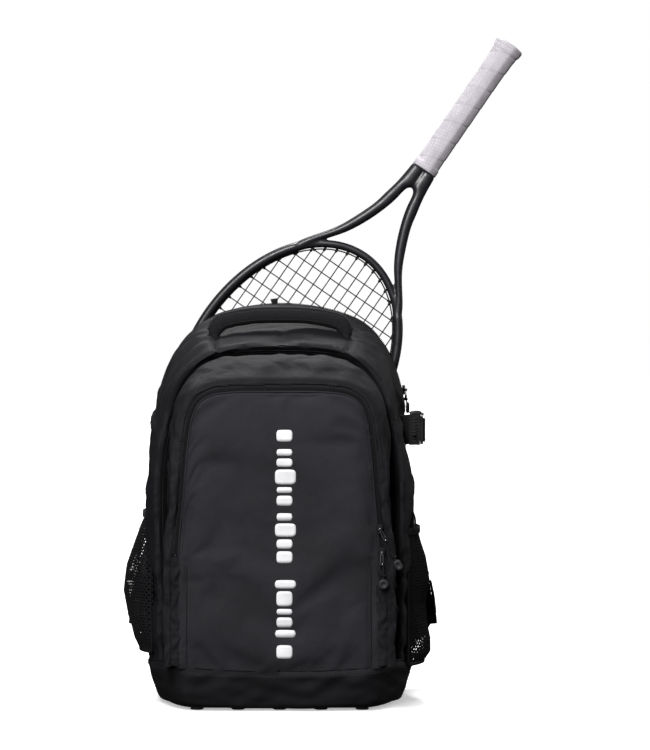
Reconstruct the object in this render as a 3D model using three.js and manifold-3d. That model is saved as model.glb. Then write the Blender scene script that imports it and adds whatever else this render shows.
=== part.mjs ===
// Racket backpack with a tennis racket standing in its rear compartment.
// Millimetres, +Z up, front of the bag towards -Y, +X to the right when seen from the front.
// Origin: the middle of the base, on the surface that the bag stands on.
import * as THREE from "three";
import { mergeVertices } from "three/addons/utils/BufferGeometryUtils.js";
import Module from "manifold-3d";

const wasm = await Module();
wasm.setup();

// ---------------------------------------------------------------- driving dimensions
const SEAM_Z = 55; // top of the moulded base boot
const GAP = 0.4; // air between neighbouring pieces
const FABRIC = 3; // foam-backed fabric
const FRONT_Y = -106; // face of the front pocket
const RIM_Y = -101; // front edge of the lid shell, where the pocket zip is sewn
const LID_Y = -56; // rear edge of the lid shell, under the gusset's overhang
const FLAP_EDGE_Y = -62; // front edge of the main gusset
const DIVIDER_Y = 58; // front of the panel between the main and racket compartments
const BACK_Y = 97; // front of the back panel
const BACK_THICK = 6;
const PAD_THICK = 7;
const FOLD_Z = 146; // the lid folds forward here, at the ends of the main zip
const POCKET_FOLD_Z = 186; // the pocket flap folds forward here
const OVERHANG = 13; // the lid sits this far inside the gusset's front edge
const ZIP_CHANNEL = 12; // room for a zip between two fabric edges
const MOUTH_LEFT_Z = 425; // lower ends of the racket compartment's open zip
const MOUTH_RIGHT_Z = 394;

// Half outlines of the bag as [half width, height], from the base seam to the top middle.
const FLAP_EDGE = [
  [146, 56], [148, 168], [148, 288], [139, 345], [126, 390], [105, 418], [80, 434], [40, 440], [0, 441],
];
const WIDEST = [
  [162, 56], [164, 150], [164, 237], [159, 316], [154, 358], [146, 392], [132, 422], [106, 446], [76, 458],
  [40, 463], [0, 464],
];
const REAR = [
  [156, 56], [158, 150], [158, 237], [157, 316], [155, 355], [153, 395], [145, 425], [130, 454], [104, 480],
  [62, 491], [0, 495],
];
const BACK = [
  [150, 56], [152, 150], [152, 237], [150, 355], [147, 392], [137, 430], [114, 461], [72, 479], [0, 486],
];
const POCKET = [
  [131, 56], [130, 185], [124, 255], [118, 324], [112, 358], [101, 379], [84, 389], [60, 393], [0, 394],
];
// Half plan of the base as [half width, y], from the front middle to the back middle.
const BASE_PLAN = [
  [0, -105], [70, -105], [112, -102], [134, -84], [148, -60], [160, -25], [163, 5], [161, 45], [157, 80],
  [148, 99], [122, 104], [60, 105], [0, 105],
];

// Racket: tip, tilt from the vertical, and sizes along its own axis.
const RACKET = {
  tip: [-96, 265],
  tilt: THREE.MathUtils.degToRad(34.6),
  y: 78.5,
  length: 685,
  headLong: 362,
  headWide: 260,
  band: 12.5,
  depth: 23,
  gripStart: 490,
};

// ---------------------------------------------------------------- solids
function solidOf(geometry) {
  const g = geometry.index ? geometry.toNonIndexed() : geometry.clone();
  const bare = new THREE.BufferGeometry().setAttribute("position", g.getAttribute("position"));
  const merged = mergeVertices(bare, 1e-3);
  return new wasm.Manifold(
    new wasm.Mesh({
      numProp: 3,
      vertProperties: merged.attributes.position.array,
      triVerts: new Uint32Array(merged.index.array),
    }),
  );
}

function geometryOf(solid) {
  const mesh = solid.getMesh();
  const position = new Float32Array(mesh.numVert * 3);
  for (let i = 0; i < mesh.numVert; i++)
    position.set(mesh.vertProperties.subarray(i * mesh.numProp, i * mesh.numProp + 3), i * 3);
  return new THREE.BufferGeometry()
    .setAttribute("position", new THREE.BufferAttribute(position, 3))
    .setIndex(new THREE.BufferAttribute(mesh.triVerts, 1));
}

const join = (...pieces) => geometryOf(pieces.map(solidOf).reduce((a, b) => a.add(b)));
const cut = (piece, ...tools) =>
  geometryOf(tools.reduce((a, b) => a.subtract(solidOf(b)), solidOf(piece)));
const common = (a, b) => geometryOf(solidOf(a).intersect(solidOf(b)));

function block(x0, x1, y0, y1, z0, z1) {
  return new THREE.BoxGeometry(x1 - x0, y1 - y0, z1 - z0).translate(
    (x0 + x1) / 2, (y0 + y1) / 2, (z0 + z1) / 2,
  );
}

// Everything of a piece between two heights.
const BIG = 900;
const between = (piece, z0, z1) => common(piece, block(-BIG, BIG, -BIG, BIG, z0, z1));

function signedVolume(geometry) {
  const p = geometry.attributes.position, i = geometry.index;
  const [a, b, c] = [new THREE.Vector3(), new THREE.Vector3(), new THREE.Vector3()];
  let total = 0;
  for (let k = 0; k < i.count; k += 3) {
    a.fromBufferAttribute(p, i.getX(k));
    b.fromBufferAttribute(p, i.getX(k + 1));
    c.fromBufferAttribute(p, i.getX(k + 2));
    total += a.dot(b.cross(c)) / 6;
  }
  return total;
}

// A closed solid through rings of equal length; flat(point) gives a ring's own plane coordinates.
function loft(rings, flat) {
  const n = rings[0].length;
  const position = rings.flat().flatMap((p) => [p.x, p.y, p.z]);
  const index = [];
  for (let r = 0; r + 1 < rings.length; r++)
    for (let i = 0; i < n; i++) {
      const a = r * n + i, b = r * n + ((i + 1) % n);
      index.push(a, b, b + n, a, b + n, a + n);
    }
  for (const [ring, start, turn] of [[rings[0], 0, 1], [rings.at(-1), (rings.length - 1) * n, -1]]) {
    const contour = ring.map(flat);
    const way = Math.sign(THREE.ShapeUtils.area(contour));
    for (const face of THREE.ShapeUtils.triangulateShape(contour, [])) {
      const area = THREE.ShapeUtils.area(face.map((k) => contour[k]));
      const [a, b, c] = face.map((k) => k + start);
      if (area * way * turn > 0) index.push(a, c, b);
      else index.push(a, b, c);
    }
  }
  const geometry = new THREE.BufferGeometry()
    .setAttribute("position", new THREE.Float32BufferAttribute(position, 3))
    .setIndex(index);
  if (signedVolume(geometry) < 0) {
    for (let k = 0; k < index.length; k += 3) [index[k], index[k + 1]] = [index[k + 1], index[k]];
    geometry.setIndex(index);
  }
  return geometry;
}
const flatXZ = (p) => new THREE.Vector2(p.x, p.z);
const flatXY = (p) => new THREE.Vector2(p.x, p.y);

// ---------------------------------------------------------------- outlines
const ARCH_STEPS = 40;

// A smooth arch through a half outline and its mirror image, moved inwards, in the plane of that y.
function arch(half, y, inset = 0, bottom = SEAM_Z + GAP) {
  const left = half.map(([w, z]) => new THREE.Vector3(-w, 0, z));
  const right = half.slice(0, -1).reverse().map(([w, z]) => new THREE.Vector3(w, 0, z));
  const curve = new THREE.CatmullRomCurve3([...left, ...right], false, "centripetal");
  const points = curve.getSpacedPoints(ARCH_STEPS);
  return points.map((p, i) => {
    const along = points[Math.min(i + 1, ARCH_STEPS)].clone().sub(points[Math.max(i - 1, 0)]).normalize();
    const end = i === 0 || i === ARCH_STEPS;
    return new THREE.Vector3(p.x + inset * along.z, y, end ? bottom : p.z - inset * along.x);
  });
}

// Part way from one ring to another, pushed outwards by side at the sides and by top at the top.
function midRing(a, b, share, side, top) {
  return a.map((p, i) => {
    const q = p.clone().lerp(b[i], share);
    const out = new THREE.Vector2(q.x, Math.max(q.z - 250, 0)).normalize();
    const bulge = THREE.MathUtils.lerp(side, top, out.y);
    const end = i === 0 || i === a.length - 1;
    return new THREE.Vector3(q.x + out.x * bulge, q.y, end ? q.z : q.z + out.y * bulge);
  });
}

// A band of fabric that follows an arch from y0 to y1, between two insets.
function archBand(half, y0, y1, inset0, inset1) {
  const outer = loft([arch(half, y0, inset0), arch(half, y1, inset0)], flatXZ);
  const low = SEAM_Z - 20;
  return cut(outer, loft([arch(half, y0 - 1, inset1, low), arch(half, y1 + 1, inset1, low)], flatXZ));
}

const panel = (half, y0, y1, inset) => loft([arch(half, y0, inset), arch(half, y1, inset)], flatXZ);

// ---------------------------------------------------------------- scene helpers
const backpack = new THREE.Group();
const COLOUR = {
  shell: [0x2c2b2f, 0.75, 0], lining: [0x1c1c1e, 0.9, 0], boot: [0x26252a, 0.6, 0], mesh: [0x111112, 0.85, 0],
  webbing: [0x151515, 0.8, 0], plastic: [0x101012, 0.4, 0], metal: [0x8a8c90, 0.3, 0.9],
  rubber: [0x3a3a3e, 0.6, 0], foam: [0x222226, 0.9, 0], frame: [0x0c0c0e, 0.15, 0], grip: [0xcfcbd3, 0.7, 0],
  string: [0x141414, 0.4, 0], coil: [0x0d0d0e, 0.5, 0],
};

function add(name, geometry, look) {
  const [color, roughness, metalness] = COLOUR[look];
  const mesh = new THREE.Mesh(geometry, new THREE.MeshStandardMaterial({ color, roughness, metalness }));
  mesh.name = name;
  backpack.add(mesh);
  return mesh;
}

// ---------------------------------------------------------------- base
function planRing(z, inset) {
  const half = BASE_PLAN.map(([x, y]) => new THREE.Vector3(x, y, 0));
  const mirrored = BASE_PLAN.slice(1, -1).reverse().map(([x, y]) => new THREE.Vector3(-x, y, 0));
  const curve = new THREE.CatmullRomCurve3([...half, ...mirrored], true, "centripetal");
  const points = curve.getSpacedPoints(48).slice(0, 48);
  return points.map((p, i) => {
    const along = points[(i + 1) % 48].clone().sub(points[(i + 47) % 48]).normalize();
    return new THREE.Vector3(p.x - inset * along.y, p.y + inset * along.x, z);
  });
}

function base() {
  const outside = [[0, 12], [3, 6], [10, 1.5], [22, 0], [SEAM_Z, 0]];
  const inside = [[3, 15], [6, 9], [13, 4.5], [25, 3], [SEAM_Z + 5, 3]];
  const rings = (list) => loft(list.map(([z, inset]) => planRing(z, inset)), flatXY);
  add("base_boot", cut(rings(outside), rings(inside)), "boot");
  add("base_board", rings([[3.4, 19], [6.4, 19]]), "lining");
}

// ---------------------------------------------------------------- main compartment and back
// The main compartment's arched volume, from the overhanging front edge to the divider.
function gussetVolume(inset, bottom, reach) {
  return loft([
    arch(FLAP_EDGE, FLAP_EDGE_Y - reach, inset, bottom),
    midRing(arch(FLAP_EDGE, FLAP_EDGE_Y, inset, bottom), arch(WIDEST, 0, inset, bottom), 0.5, 4, 4),
    arch(WIDEST, 0, inset, bottom),
    arch(REAR, DIVIDER_Y - GAP + reach, inset, bottom),
  ], flatXZ);
}

function mainGusset() {
  const outer = gussetVolume(0, SEAM_Z + GAP, 0);
  add("main_gusset", cut(outer, gussetVolume(FABRIC, SEAM_Z - 20, 1)), "shell");
  add("divider_panel", panel(REAR, DIVIDER_Y, DIVIDER_Y + 2, 0), "lining");
  const tape = archBand(FLAP_EDGE, LID_Y - 1, LID_Y + 2, FABRIC + GAP, FABRIC + 2.6);
  add("main_zip_tape_gusset", between(tape, FOLD_Z, BIG), "coil");
}

function racketCompartment() {
  const band = archBand(REAR, DIVIDER_Y + 2 + GAP, BACK_Y - GAP, 0, FABRIC);
  const left = block(-BIG, 0, 0, BIG, 0, MOUTH_LEFT_Z);
  const right = block(0, BIG, 0, BIG, 0, MOUTH_RIGHT_Z);
  add("racket_wall_left", common(band, left), "shell");
  add("racket_wall_right", common(band, right), "shell");
  const aboveWalls = (piece) =>
    cut(piece, block(-BIG, 0, 0, BIG, 0, MOUTH_LEFT_Z + GAP), block(0, BIG, 0, BIG, 0, MOUTH_RIGHT_Z + GAP));
  const front = archBand(REAR, DIVIDER_Y + 2 + GAP, DIVIDER_Y + 7, 0, 3.5);
  const rear = archBand(REAR, BACK_Y - 5.4, BACK_Y - GAP, 0, 3.5);
  add("racket_mouth_front", aboveWalls(front), "coil");
  add("racket_mouth_rear", aboveWalls(rear), "coil");
}

function back() {
  add("back_panel", panel(BACK, BACK_Y, BACK_Y + BACK_THICK, 0), "foam");
  const y0 = BACK_Y + BACK_THICK + GAP;
  const pad = (x0, x1, z0, z1) => {
    const r = 16;
    const shape = new THREE.Shape()
      .moveTo(x0 + r, z0).lineTo(x1 - r, z0).quadraticCurveTo(x1, z0, x1, z0 + r)
      .lineTo(x1, z1 - r).quadraticCurveTo(x1, z1, x1 - r, z1)
      .lineTo(x0 + r, z1).quadraticCurveTo(x0, z1, x0, z1 - r)
      .lineTo(x0, z0 + r).quadraticCurveTo(x0, z0, x0 + r, z0);
    return new THREE.ExtrudeGeometry(shape, {
      depth: PAD_THICK - 3, bevelThickness: 1.5, bevelSize: 3, bevelSegments: 1, curveSegments: 4,
    }).rotateX(Math.PI / 2).translate(0, y0 + PAD_THICK - 1.5, 0);
  };
  add("back_pad_left", pad(-124, -16, 176, 412), "foam");
  add("back_pad_right", pad(16, 124, 176, 412), "foam");
  add("lumbar_pad", pad(-124, 124, 72, 160), "foam");
  add("strap_yoke", pad(-92, 92, 424, 466), "shell");
}

// ---------------------------------------------------------------- front lid and pocket
function lidShell() {
  const sections = (inset, bottom, reach) => {
    const rear = arch(FLAP_EDGE, LID_Y + reach, OVERHANG + inset, bottom);
    const rim = arch(POCKET, RIM_Y - reach, inset - FABRIC, bottom);
    return [rear, midRing(rear, rim, 0.45, 1, 9), midRing(rear, rim, 0.8, 0.5, 7), rim];
  };
  const outer = loft(sections(0, SEAM_Z + GAP, 0), flatXZ);
  return cut(outer, loft(sections(FABRIC, SEAM_Z - 20, 1), flatXZ));
}

function lid() {
  const shell = lidShell();
  add("lid_shell", between(shell, FOLD_Z + GAP, BIG), "shell");
  const lower = between(shell, 0, FOLD_Z - GAP);
  add("lower_side_left", common(lower, block(-BIG, 0, -BIG, BIG, 0, BIG)), "shell");
  add("lower_side_right", common(lower, block(0, BIG, -BIG, BIG, 0, BIG)), "shell");
  const tape = archBand(FLAP_EDGE, LID_Y + GAP, LID_Y + 2, OVERHANG - 1, OVERHANG + 3);
  add("main_zip_tape_lid", between(tape, FOLD_Z + 2, BIG), "coil");

  const lining = panel(POCKET, -81, -79, 2.5);
  add("pocket_lining", between(lining, FOLD_Z + GAP, BIG), "lining");
  add("pocket_lining_lower", between(lining, 0, FOLD_Z - GAP), "lining");

  const face = panel(POCKET, FRONT_Y, FRONT_Y + FABRIC, GAP);
  add("pocket_face_lower", between(face, 0, FOLD_Z - GAP), "shell");
  add("pocket_face_middle", between(face, FOLD_Z + GAP, POCKET_FOLD_Z - GAP), "shell");
  const flap = panel(POCKET, FRONT_Y, FRONT_Y + FABRIC, ZIP_CHANNEL);
  add("pocket_flap", between(flap, POCKET_FOLD_Z + GAP, BIG), "shell");

  const zipTape = archBand(POCKET, -102.6, -101, GAP, ZIP_CHANNEL - 1);
  const coil = archBand(POCKET, -103.8, -101.4, 4, 8);
  add("pocket_zip_coil", between(join(zipTape, coil), POCKET_FOLD_Z + GAP, BIG), "coil");
}

// ---------------------------------------------------------------- zip sliders and pulls
// Local frame: zip runs along Z, the outside is towards -Y, and the coil's face is at y = 0.
function zipSlider() {
  const shape = new THREE.Shape()
    .moveTo(-2.6, -5.5).lineTo(2.6, -5.5).lineTo(3.8, 2.5).lineTo(2.6, 5.5).lineTo(-2.6, 5.5).lineTo(-3.8, 2.5);
  const body = new THREE.ExtrudeGeometry(shape, {
    depth: 2.4, bevelThickness: 0.6, bevelSize: 0.5, bevelSegments: 1,
  }).rotateX(Math.PI / 2).translate(0, -1, 0);
  const ears = [-1, 1].map((s) => block(s * 2.5 - 0.5, s * 2.5 + 0.5, -6.6, -3.6, -1.6, 1.6));
  return join(body, ...ears);
}

// The metal bar that hangs between the slider's ears; its pivot is at the local origin.
function pullBar(length) {
  const shape = new THREE.Shape()
    .moveTo(-0.6, 0.4).lineTo(0.6, 0.4).lineTo(0.6, -2.6).lineTo(2.7, -4.6).lineTo(2.7, -length)
    .lineTo(-2.7, -length).lineTo(-2.7, -4.6).lineTo(-0.6, -2.6);
  const hole = new THREE.Path()
    .moveTo(-1.5, -length + 1.2).lineTo(1.5, -length + 1.2).lineTo(1.5, -length + 4.2).lineTo(-1.5, -length + 4.2);
  shape.holes.push(hole);
  return new THREE.ExtrudeGeometry(shape, { depth: 1.4, bevelEnabled: false })
    .rotateX(Math.PI / 2).translate(0, 0.7, 0);
}

// A loop of cord ending in a round or long rubber end, hanging from a pull bar of that length.
function cordEnd(barLength, cordLength, endWide, endLong, across = 0) {
  const top = -barLength - GAP, low = top - cordLength;
  const shape = new THREE.Shape()
    .moveTo(-1.8, top).lineTo(1.8, top).lineTo(across + 3.2, low).lineTo(across - 3.2, low);
  const slit = new THREE.Path()
    .moveTo(across - 1.2, low + 1).lineTo(across + 1.2, low + 1).lineTo(0.3, top - 2.4).lineTo(-0.3, top - 2.4);
  shape.holes.push(slit);
  const cord = new THREE.ExtrudeGeometry(shape, { depth: 2, bevelEnabled: false })
    .rotateX(Math.PI / 2).translate(0, 1, 0);
  const end = new THREE.CylinderGeometry(endWide / 2, endWide / 2, 4.6, 14)
    .scale(1, 1, endLong / endWide).translate(across, 0, low - endLong / 2 + 1.5);
  return join(cord, end);
}

// Slider, bar and cord end as three nodes, turned by lean about +Y and placed on a zip.
function zipPull(prefix, place, lean, turn, swing, bar, cord, wide, long, across) {
  const group = new THREE.Group();
  group.position.set(...place);
  group.rotation.set(0, lean, turn, "ZYX");
  const pull = new THREE.Group();
  pull.position.set(0, -5, 0);
  pull.rotation.y = swing - lean;
  group.add(add(`${prefix}_slider`, zipSlider(), "metal"), pull);
  pull.add(add(`${prefix}_pull_bar`, pullBar(bar), "metal"));
  pull.add(add(`${prefix}_pull_cord`, cordEnd(bar, cord, wide, long, across), "rubber"));
  backpack.add(group);
}

function zips() {
  const lean = -0.094;
  zipPull("pocket_upper", [120.6, -104.2, 221], lean, 0, -0.47, 15, 28, 9, 13, 0);
  zipPull("pocket_lower", [123, -104.2, 193], lean, 0, 0, 15, 18, 12.5, 12.5, 2);
  zipPull("main_zip", [140.6, -58.6, 152], 0, 0, 0, 10, 18, 7, 12, 0);
  zipPull("racket_zip", [153.9, 79, 386], 0, Math.PI / 2, 0, 9, 8, 8, 14, 0);
}

// ---------------------------------------------------------------- side pockets
// Half width of the bag's side at that y, over the height of the bottle pockets.
const SIDE = new THREE.SplineCurve([
  new THREE.Vector2(-62, 149), new THREE.Vector2(-30, 161), new THREE.Vector2(0, 165.2),
  new THREE.Vector2(30, 163.4), new THREE.Vector2(60, 159),
]);
const sideX = (y) => SIDE.getPoint((y + 62) / 122).y;

const POCKET_Y = [-50, 50];
const MESH_THICK = 2;

function pocketRing(side, z, bulge, thick, lift) {
  const steps = 14, ring = [];
  for (let i = 0; i <= steps; i++) {
    const y = THREE.MathUtils.lerp(POCKET_Y[0] + thick, POCKET_Y[1] - thick, i / steps);
    const swell = Math.sin((Math.PI * i) / steps) ** 0.6;
    ring.push(new THREE.Vector3(side * (sideX(y) + 1.4 + (bulge - thick) * swell), y, z));
  }
  for (let i = steps; i >= 0; i--) {
    const y = THREE.MathUtils.lerp(POCKET_Y[0] + thick, POCKET_Y[1] - thick, i / steps);
    ring.push(new THREE.Vector3(side * (sideX(y) + 0.8 - lift), y, z));
  }
  return ring;
}

function bottlePocket(name, side, levels) {
  const outer = loft(levels.map(([z, bulge]) => pocketRing(side, z, bulge, 0, 0)), flatXY);
  const inner = levels.map(([z, bulge], i) => {
    const rise = i === 0 ? MESH_THICK : i === levels.length - 1 ? 4 : 0;
    return pocketRing(side, z + rise, Math.max(bulge, 5), MESH_THICK, 3);
  });
  add(`bottle_pocket_${name}`, cut(outer, loft(inner, flatXY)), "mesh");
  const [top, bulge] = levels.at(-1);
  const rim = loft([pocketRing(side, top + GAP, bulge + 0.6, 0, 0), pocketRing(side, top + 9, bulge, 0, 0)], flatXY);
  const hole = [pocketRing(side, top - 2, bulge + 0.6, 2.6, 3), pocketRing(side, top + 12, bulge, 2.6, 3)];
  add(`pocket_elastic_${name}`, cut(rim, loft(hole, flatXY)), "webbing");
}

function sidePockets() {
  bottlePocket("left", -1, [[68, 9], [80, 16], [105, 25], [137, 29], [170, 24], [200, 15], [228, 9]]);
  bottlePocket("right", 1, [[62, 13], [72, 19], [100, 18], [150, 15], [180, 12], [208, 9]]);
}

// ---------------------------------------------------------------- grab handle
function tube(points, wide, tall, sides, steps) {
  const section = new THREE.Shape();
  for (let i = 0; i < sides; i++) {
    const a = (2 * Math.PI * (i + 0.5)) / sides;
    const p = [(wide / 2) * Math.cos(a), (tall / 2) * Math.sin(a)];
    if (i) section.lineTo(...p);
    else section.moveTo(...p);
  }
  const path = new THREE.CatmullRomCurve3(points.map((p) => new THREE.Vector3(...p)));
  return new THREE.ExtrudeGeometry(section, { steps, extrudePath: path, curveSegments: 1 });
}

// A flat strap through sections [x, y, z, width, thickness], its width along the given direction.
function strap(sections, across) {
  const wide = new THREE.Vector3(...across).normalize();
  const centres = sections.map(([x, y, z]) => new THREE.Vector3(x, y, z));
  const rings = sections.map(([, , , width, thick], i) => {
    const along = centres[Math.min(i + 1, sections.length - 1)].clone().sub(centres[Math.max(i - 1, 0)]);
    const side = wide.clone().addScaledVector(along.normalize(), -wide.dot(along)).normalize();
    const up = side.clone().cross(along);
    const corner = (a, b) =>
      centres[i].clone().addScaledVector(side, (a * width) / 2).addScaledVector(up, (b * thick) / 2);
    return [
      corner(-1, -0.4), corner(-0.86, -1), corner(0.86, -1), corner(1, -0.4),
      corner(1, 0.4), corner(0.86, 1), corner(-0.86, 1), corner(-1, 0.4),
    ];
  });
  const along = centres.at(-1).clone().sub(centres[0]).normalize();
  const a = wide.clone().addScaledVector(along, -wide.dot(along)).normalize();
  const b = a.clone().cross(along);
  return loft(rings, (p) => new THREE.Vector2(p.dot(a), p.dot(b)));
}

const HANDLE = { half: 82, y: -30, footZ: 462, topZ: 480 };

function handle() {
  const { half, y, footZ, topZ } = HANDLE;
  const path = [
    [-half, y, footZ], [-half * 0.86, y, footZ + 9], [-half * 0.5, y, topZ - 1.5], [0, y, topZ],
    [half * 0.5, y, topZ - 1.5], [half * 0.86, y, footZ + 9], [half, y, footZ],
  ];
  add("grab_handle", tube(path, 14, 18, 8, 24), "webbing");
  for (const [name, side] of [["left", -1], ["right", 1]]) {
    const foot = block(half - 9, half + 11, y - 9, y + 9, 430, footZ - 7.2);
    const anchor = side < 0 ? foot.clone().rotateZ(Math.PI).translate(0, 2 * y, 0) : foot;
    add(`handle_anchor_${name}`, cut(anchor, gussetVolume(-GAP, 0, 0)), "webbing");
  }
}

// ---------------------------------------------------------------- shoulder straps
const STRAP_TOP = [58, 116, 446];
const STRAP_LOW = [166, 112, 66];

function shoulderStrap(name, side) {
  const [tx, ty, tz] = STRAP_TOP, [lx, ly, lz] = STRAP_LOW;
  const at = (share, back, out, wide, thick) => [
    side * (THREE.MathUtils.lerp(tx, lx, share) + out),
    THREE.MathUtils.lerp(ty, ly, share) + back,
    THREE.MathUtils.lerp(tz, lz, share), wide, thick,
  ];
  const across = [side * 0.96, 0, 0.26];
  add(`shoulder_pad_${name}`, strap([
    at(0, 5, 0, 28, 8), at(0.07, 16, 0, 46, 11), at(0.18, 29, 1, 60, 12), at(0.32, 37, 4, 62, 12),
    at(0.46, 37, 9, 58, 12), at(0.6, 31, 17, 52, 12), at(0.72, 22, 25, 44, 11), at(0.81, 14, 31, 32, 8),
  ], across), "foam");
  add(`strap_adjuster_${name}`, strap([
    at(0.825, 12, 31.5, 32, 6), at(0.875, 8.5, 30, 32, 6), at(0.925, 6.5, 26.5, 30, 6),
  ], across), "plastic");
  add(`strap_webbing_${name}`, strap([
    at(0.948, 5.2, 22, 25, 2.2), at(0.97, 4, 13, 25, 2.2), at(0.99, 3, 4, 25, 2.2),
  ], across), "webbing");
  const foot = strap([[side * 150, 108, 62, 30, 3], [side * 163, 112, 64, 30, 3]], [0, 0, 1]);
  add(`strap_foot_${name}`, foot, "webbing");
}

// ---------------------------------------------------------------- stick strap on the right side
const STICK = { z0: 318, z1: 355, y: -6, x0: 160, anchorY: 46 };

function stickStrap() {
  const { z0, z1, y, x0, anchorY } = STICK;
  const outer = block(x0, x0 + 13, y - 4.5, y + 4.5, z0, z1);
  const cavity = block(x0 + 3, x0 + 20, y - 2.9, y + 2.9, z0 + 3, z1 - 3);
  const window = block(x0 + 4, x0 + 9, y - 8, y + 8, z0 + 6, z0 + 13);
  add("stick_buckle_female", cut(outer, cavity, window), "plastic");
  const prong = (a, b) => block(x0 + 4, x0 + 15, y - 1.6, y + 1.6, a, b);
  const plug = join(
    prong(z0 + 5, z0 + 9), prong(z1 - 9, z1 - 5), prong((z0 + z1) / 2 - 2, (z0 + z1) / 2 + 2),
    block(x0 + 13.6, x0 + 17, y - 4, y + 4, z0 + 1, z1 - 1),
  );
  add("stick_buckle_male", plug, "plastic");
  const path = [[x0 + 18.5, y - 1], [x0 + 19, y + 9], [x0 + 17, y + 26], [x0 + 10, y + 42], [x0 + 3.4, anchorY]];
  const middle = (z0 + z1) / 2;
  add("stick_strap_webbing", strap(path.map(([x, py]) => [x, py, middle, z1 - z0 - 6, 2]), [0, 0, 1]), "webbing");
}

// ---------------------------------------------------------------- racket
// The racket is drawn flat with x across it and y from its tip to its butt, then stood in place.
function standRacket(geometry) {
  const { tip, tilt, y } = RACKET;
  return geometry.clone().rotateX(Math.PI / 2).rotateY(tilt).translate(tip[0], y, tip[1]);
}
const slab = (shape, depth, segments = 12) =>
  new THREE.ExtrudeGeometry(shape, { depth, bevelEnabled: false, curveSegments: segments })
    .translate(0, 0, -depth / 2);

function ellipse(shape, wide, long, segments) {
  const centre = RACKET.headLong / 2;
  for (let i = 0; i < segments; i++) {
    const a = (2 * Math.PI * i) / segments;
    const p = [wide * Math.cos(a), centre + long * Math.sin(a)];
    if (i) shape.lineTo(...p);
    else shape.moveTo(...p);
  }
  return shape;
}

// A closed section swept round the head, between two angles counted from the tip.
function headBand(inside, outside, depth, from, to, steps) {
  const shape = new THREE.Shape();
  const long = RACKET.headLong / 2, wide = RACKET.headWide / 2;
  const at = (inset, angle) => [(wide - inset) * Math.sin(angle), long - (long - inset) * Math.cos(angle)];
  for (let i = 0; i <= steps; i++) {
    const p = at(outside, THREE.MathUtils.lerp(from, to, i / steps));
    if (i) shape.lineTo(...p);
    else shape.moveTo(...p);
  }
  for (let i = steps; i >= 0; i--) shape.lineTo(...at(inside, THREE.MathUtils.lerp(from, to, i / steps)));
  return slab(shape, depth);
}

function racket() {
  const { headLong, headWide, band, depth, gripStart, length } = RACKET;
  const open = 2.5; // the bridge fills what is left of the head past this angle from the tip
  const arm = (s) => {
    const shape = new THREE.Shape()
      .moveTo(s * 77.5, 327.6).lineTo(s * 50.5, 366).lineTo(s * 38, 393).lineTo(s * 27.5, 421).lineTo(s * 20, 455)
      .lineTo(s * 17, gripStart - 0.6).lineTo(0, gripStart - 0.6).lineTo(0, 462).lineTo(s * 6.5, 452)
      .lineTo(s * 14, 424).lineTo(s * 25, 396).lineTo(s * 39, 369).lineTo(s * 66, 331);
    return slab(shape, depth - 2);
  };
  const head = headBand(band, 0, depth, -open, open, 56);
  const bridge = headBand(band - 1, 1.5, depth - 6, open - 0.02, 2 * Math.PI - open + 0.02, 14);
  const neck = slab(new THREE.Shape()
    .moveTo(-17, gripStart - 8).lineTo(17, gripStart - 8).lineTo(17, gripStart - 0.6).lineTo(-17, gripStart - 0.6),
  depth - 2);
  add("racket_frame", standRacket(join(head, bridge, arm(1), arm(-1), neck)), "frame");

  const grommets = headBand(band + 2.4, band + 0.4, 7, -open + 0.05, open - 0.05, 40);
  add("racket_grommet_strip", standRacket(grommets), "plastic");

  const rim = slab(ellipse(new THREE.Shape(), headWide / 2 - band - 3, headLong / 2 - band - 3, 40), 6);
  const bars = [];
  for (let x = -97.2; x < 98; x += 27) bars.push(block(x - 0.8, x + 0.8, 0, headLong, -0.8, 0.8));
  for (let z = 21; z < 345; z += 40) bars.push(block(-headWide, headWide, z - 0.8, z + 0.8, -0.8, 0.8));
  add("racket_strings", standRacket(common(join(...bars), rim)), "string");

  const gripShape = (r) => {
    const shape = new THREE.Shape();
    for (let i = 0; i < 8; i++) {
      const a = (Math.PI * (i + 0.5)) / 4;
      if (i) shape.lineTo(r * Math.cos(a), r * 0.9 * Math.sin(a));
      else shape.moveTo(r * Math.cos(a), r * 0.9 * Math.sin(a));
    }
    return shape;
  };
  const gripPiece = (r, from, to) =>
    new THREE.ExtrudeGeometry(gripShape(r), { depth: to - from, bevelEnabled: false })
      .rotateX(-Math.PI / 2).translate(0, from, 0);
  add("racket_collar", standRacket(gripPiece(18.2, gripStart, gripStart + 9.6)), "rubber");
  add("racket_grip", standRacket(gripPiece(16.4, gripStart + 10, length - 14)), "grip");
  add("racket_butt_cap", standRacket(gripPiece(20.4, length - 13.6, length)), "grip");
}

base();
mainGusset();
racketCompartment();
back();
lid();
zips();
sidePockets();
handle();
shoulderStrap("left", -1);
shoulderStrap("right", 1);
stickStrap();
racket();

export default backpack;
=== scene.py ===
import math

import bpy
import numpy as np
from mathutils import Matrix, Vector
from mathutils.bvhtree import BVHTree


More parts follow.
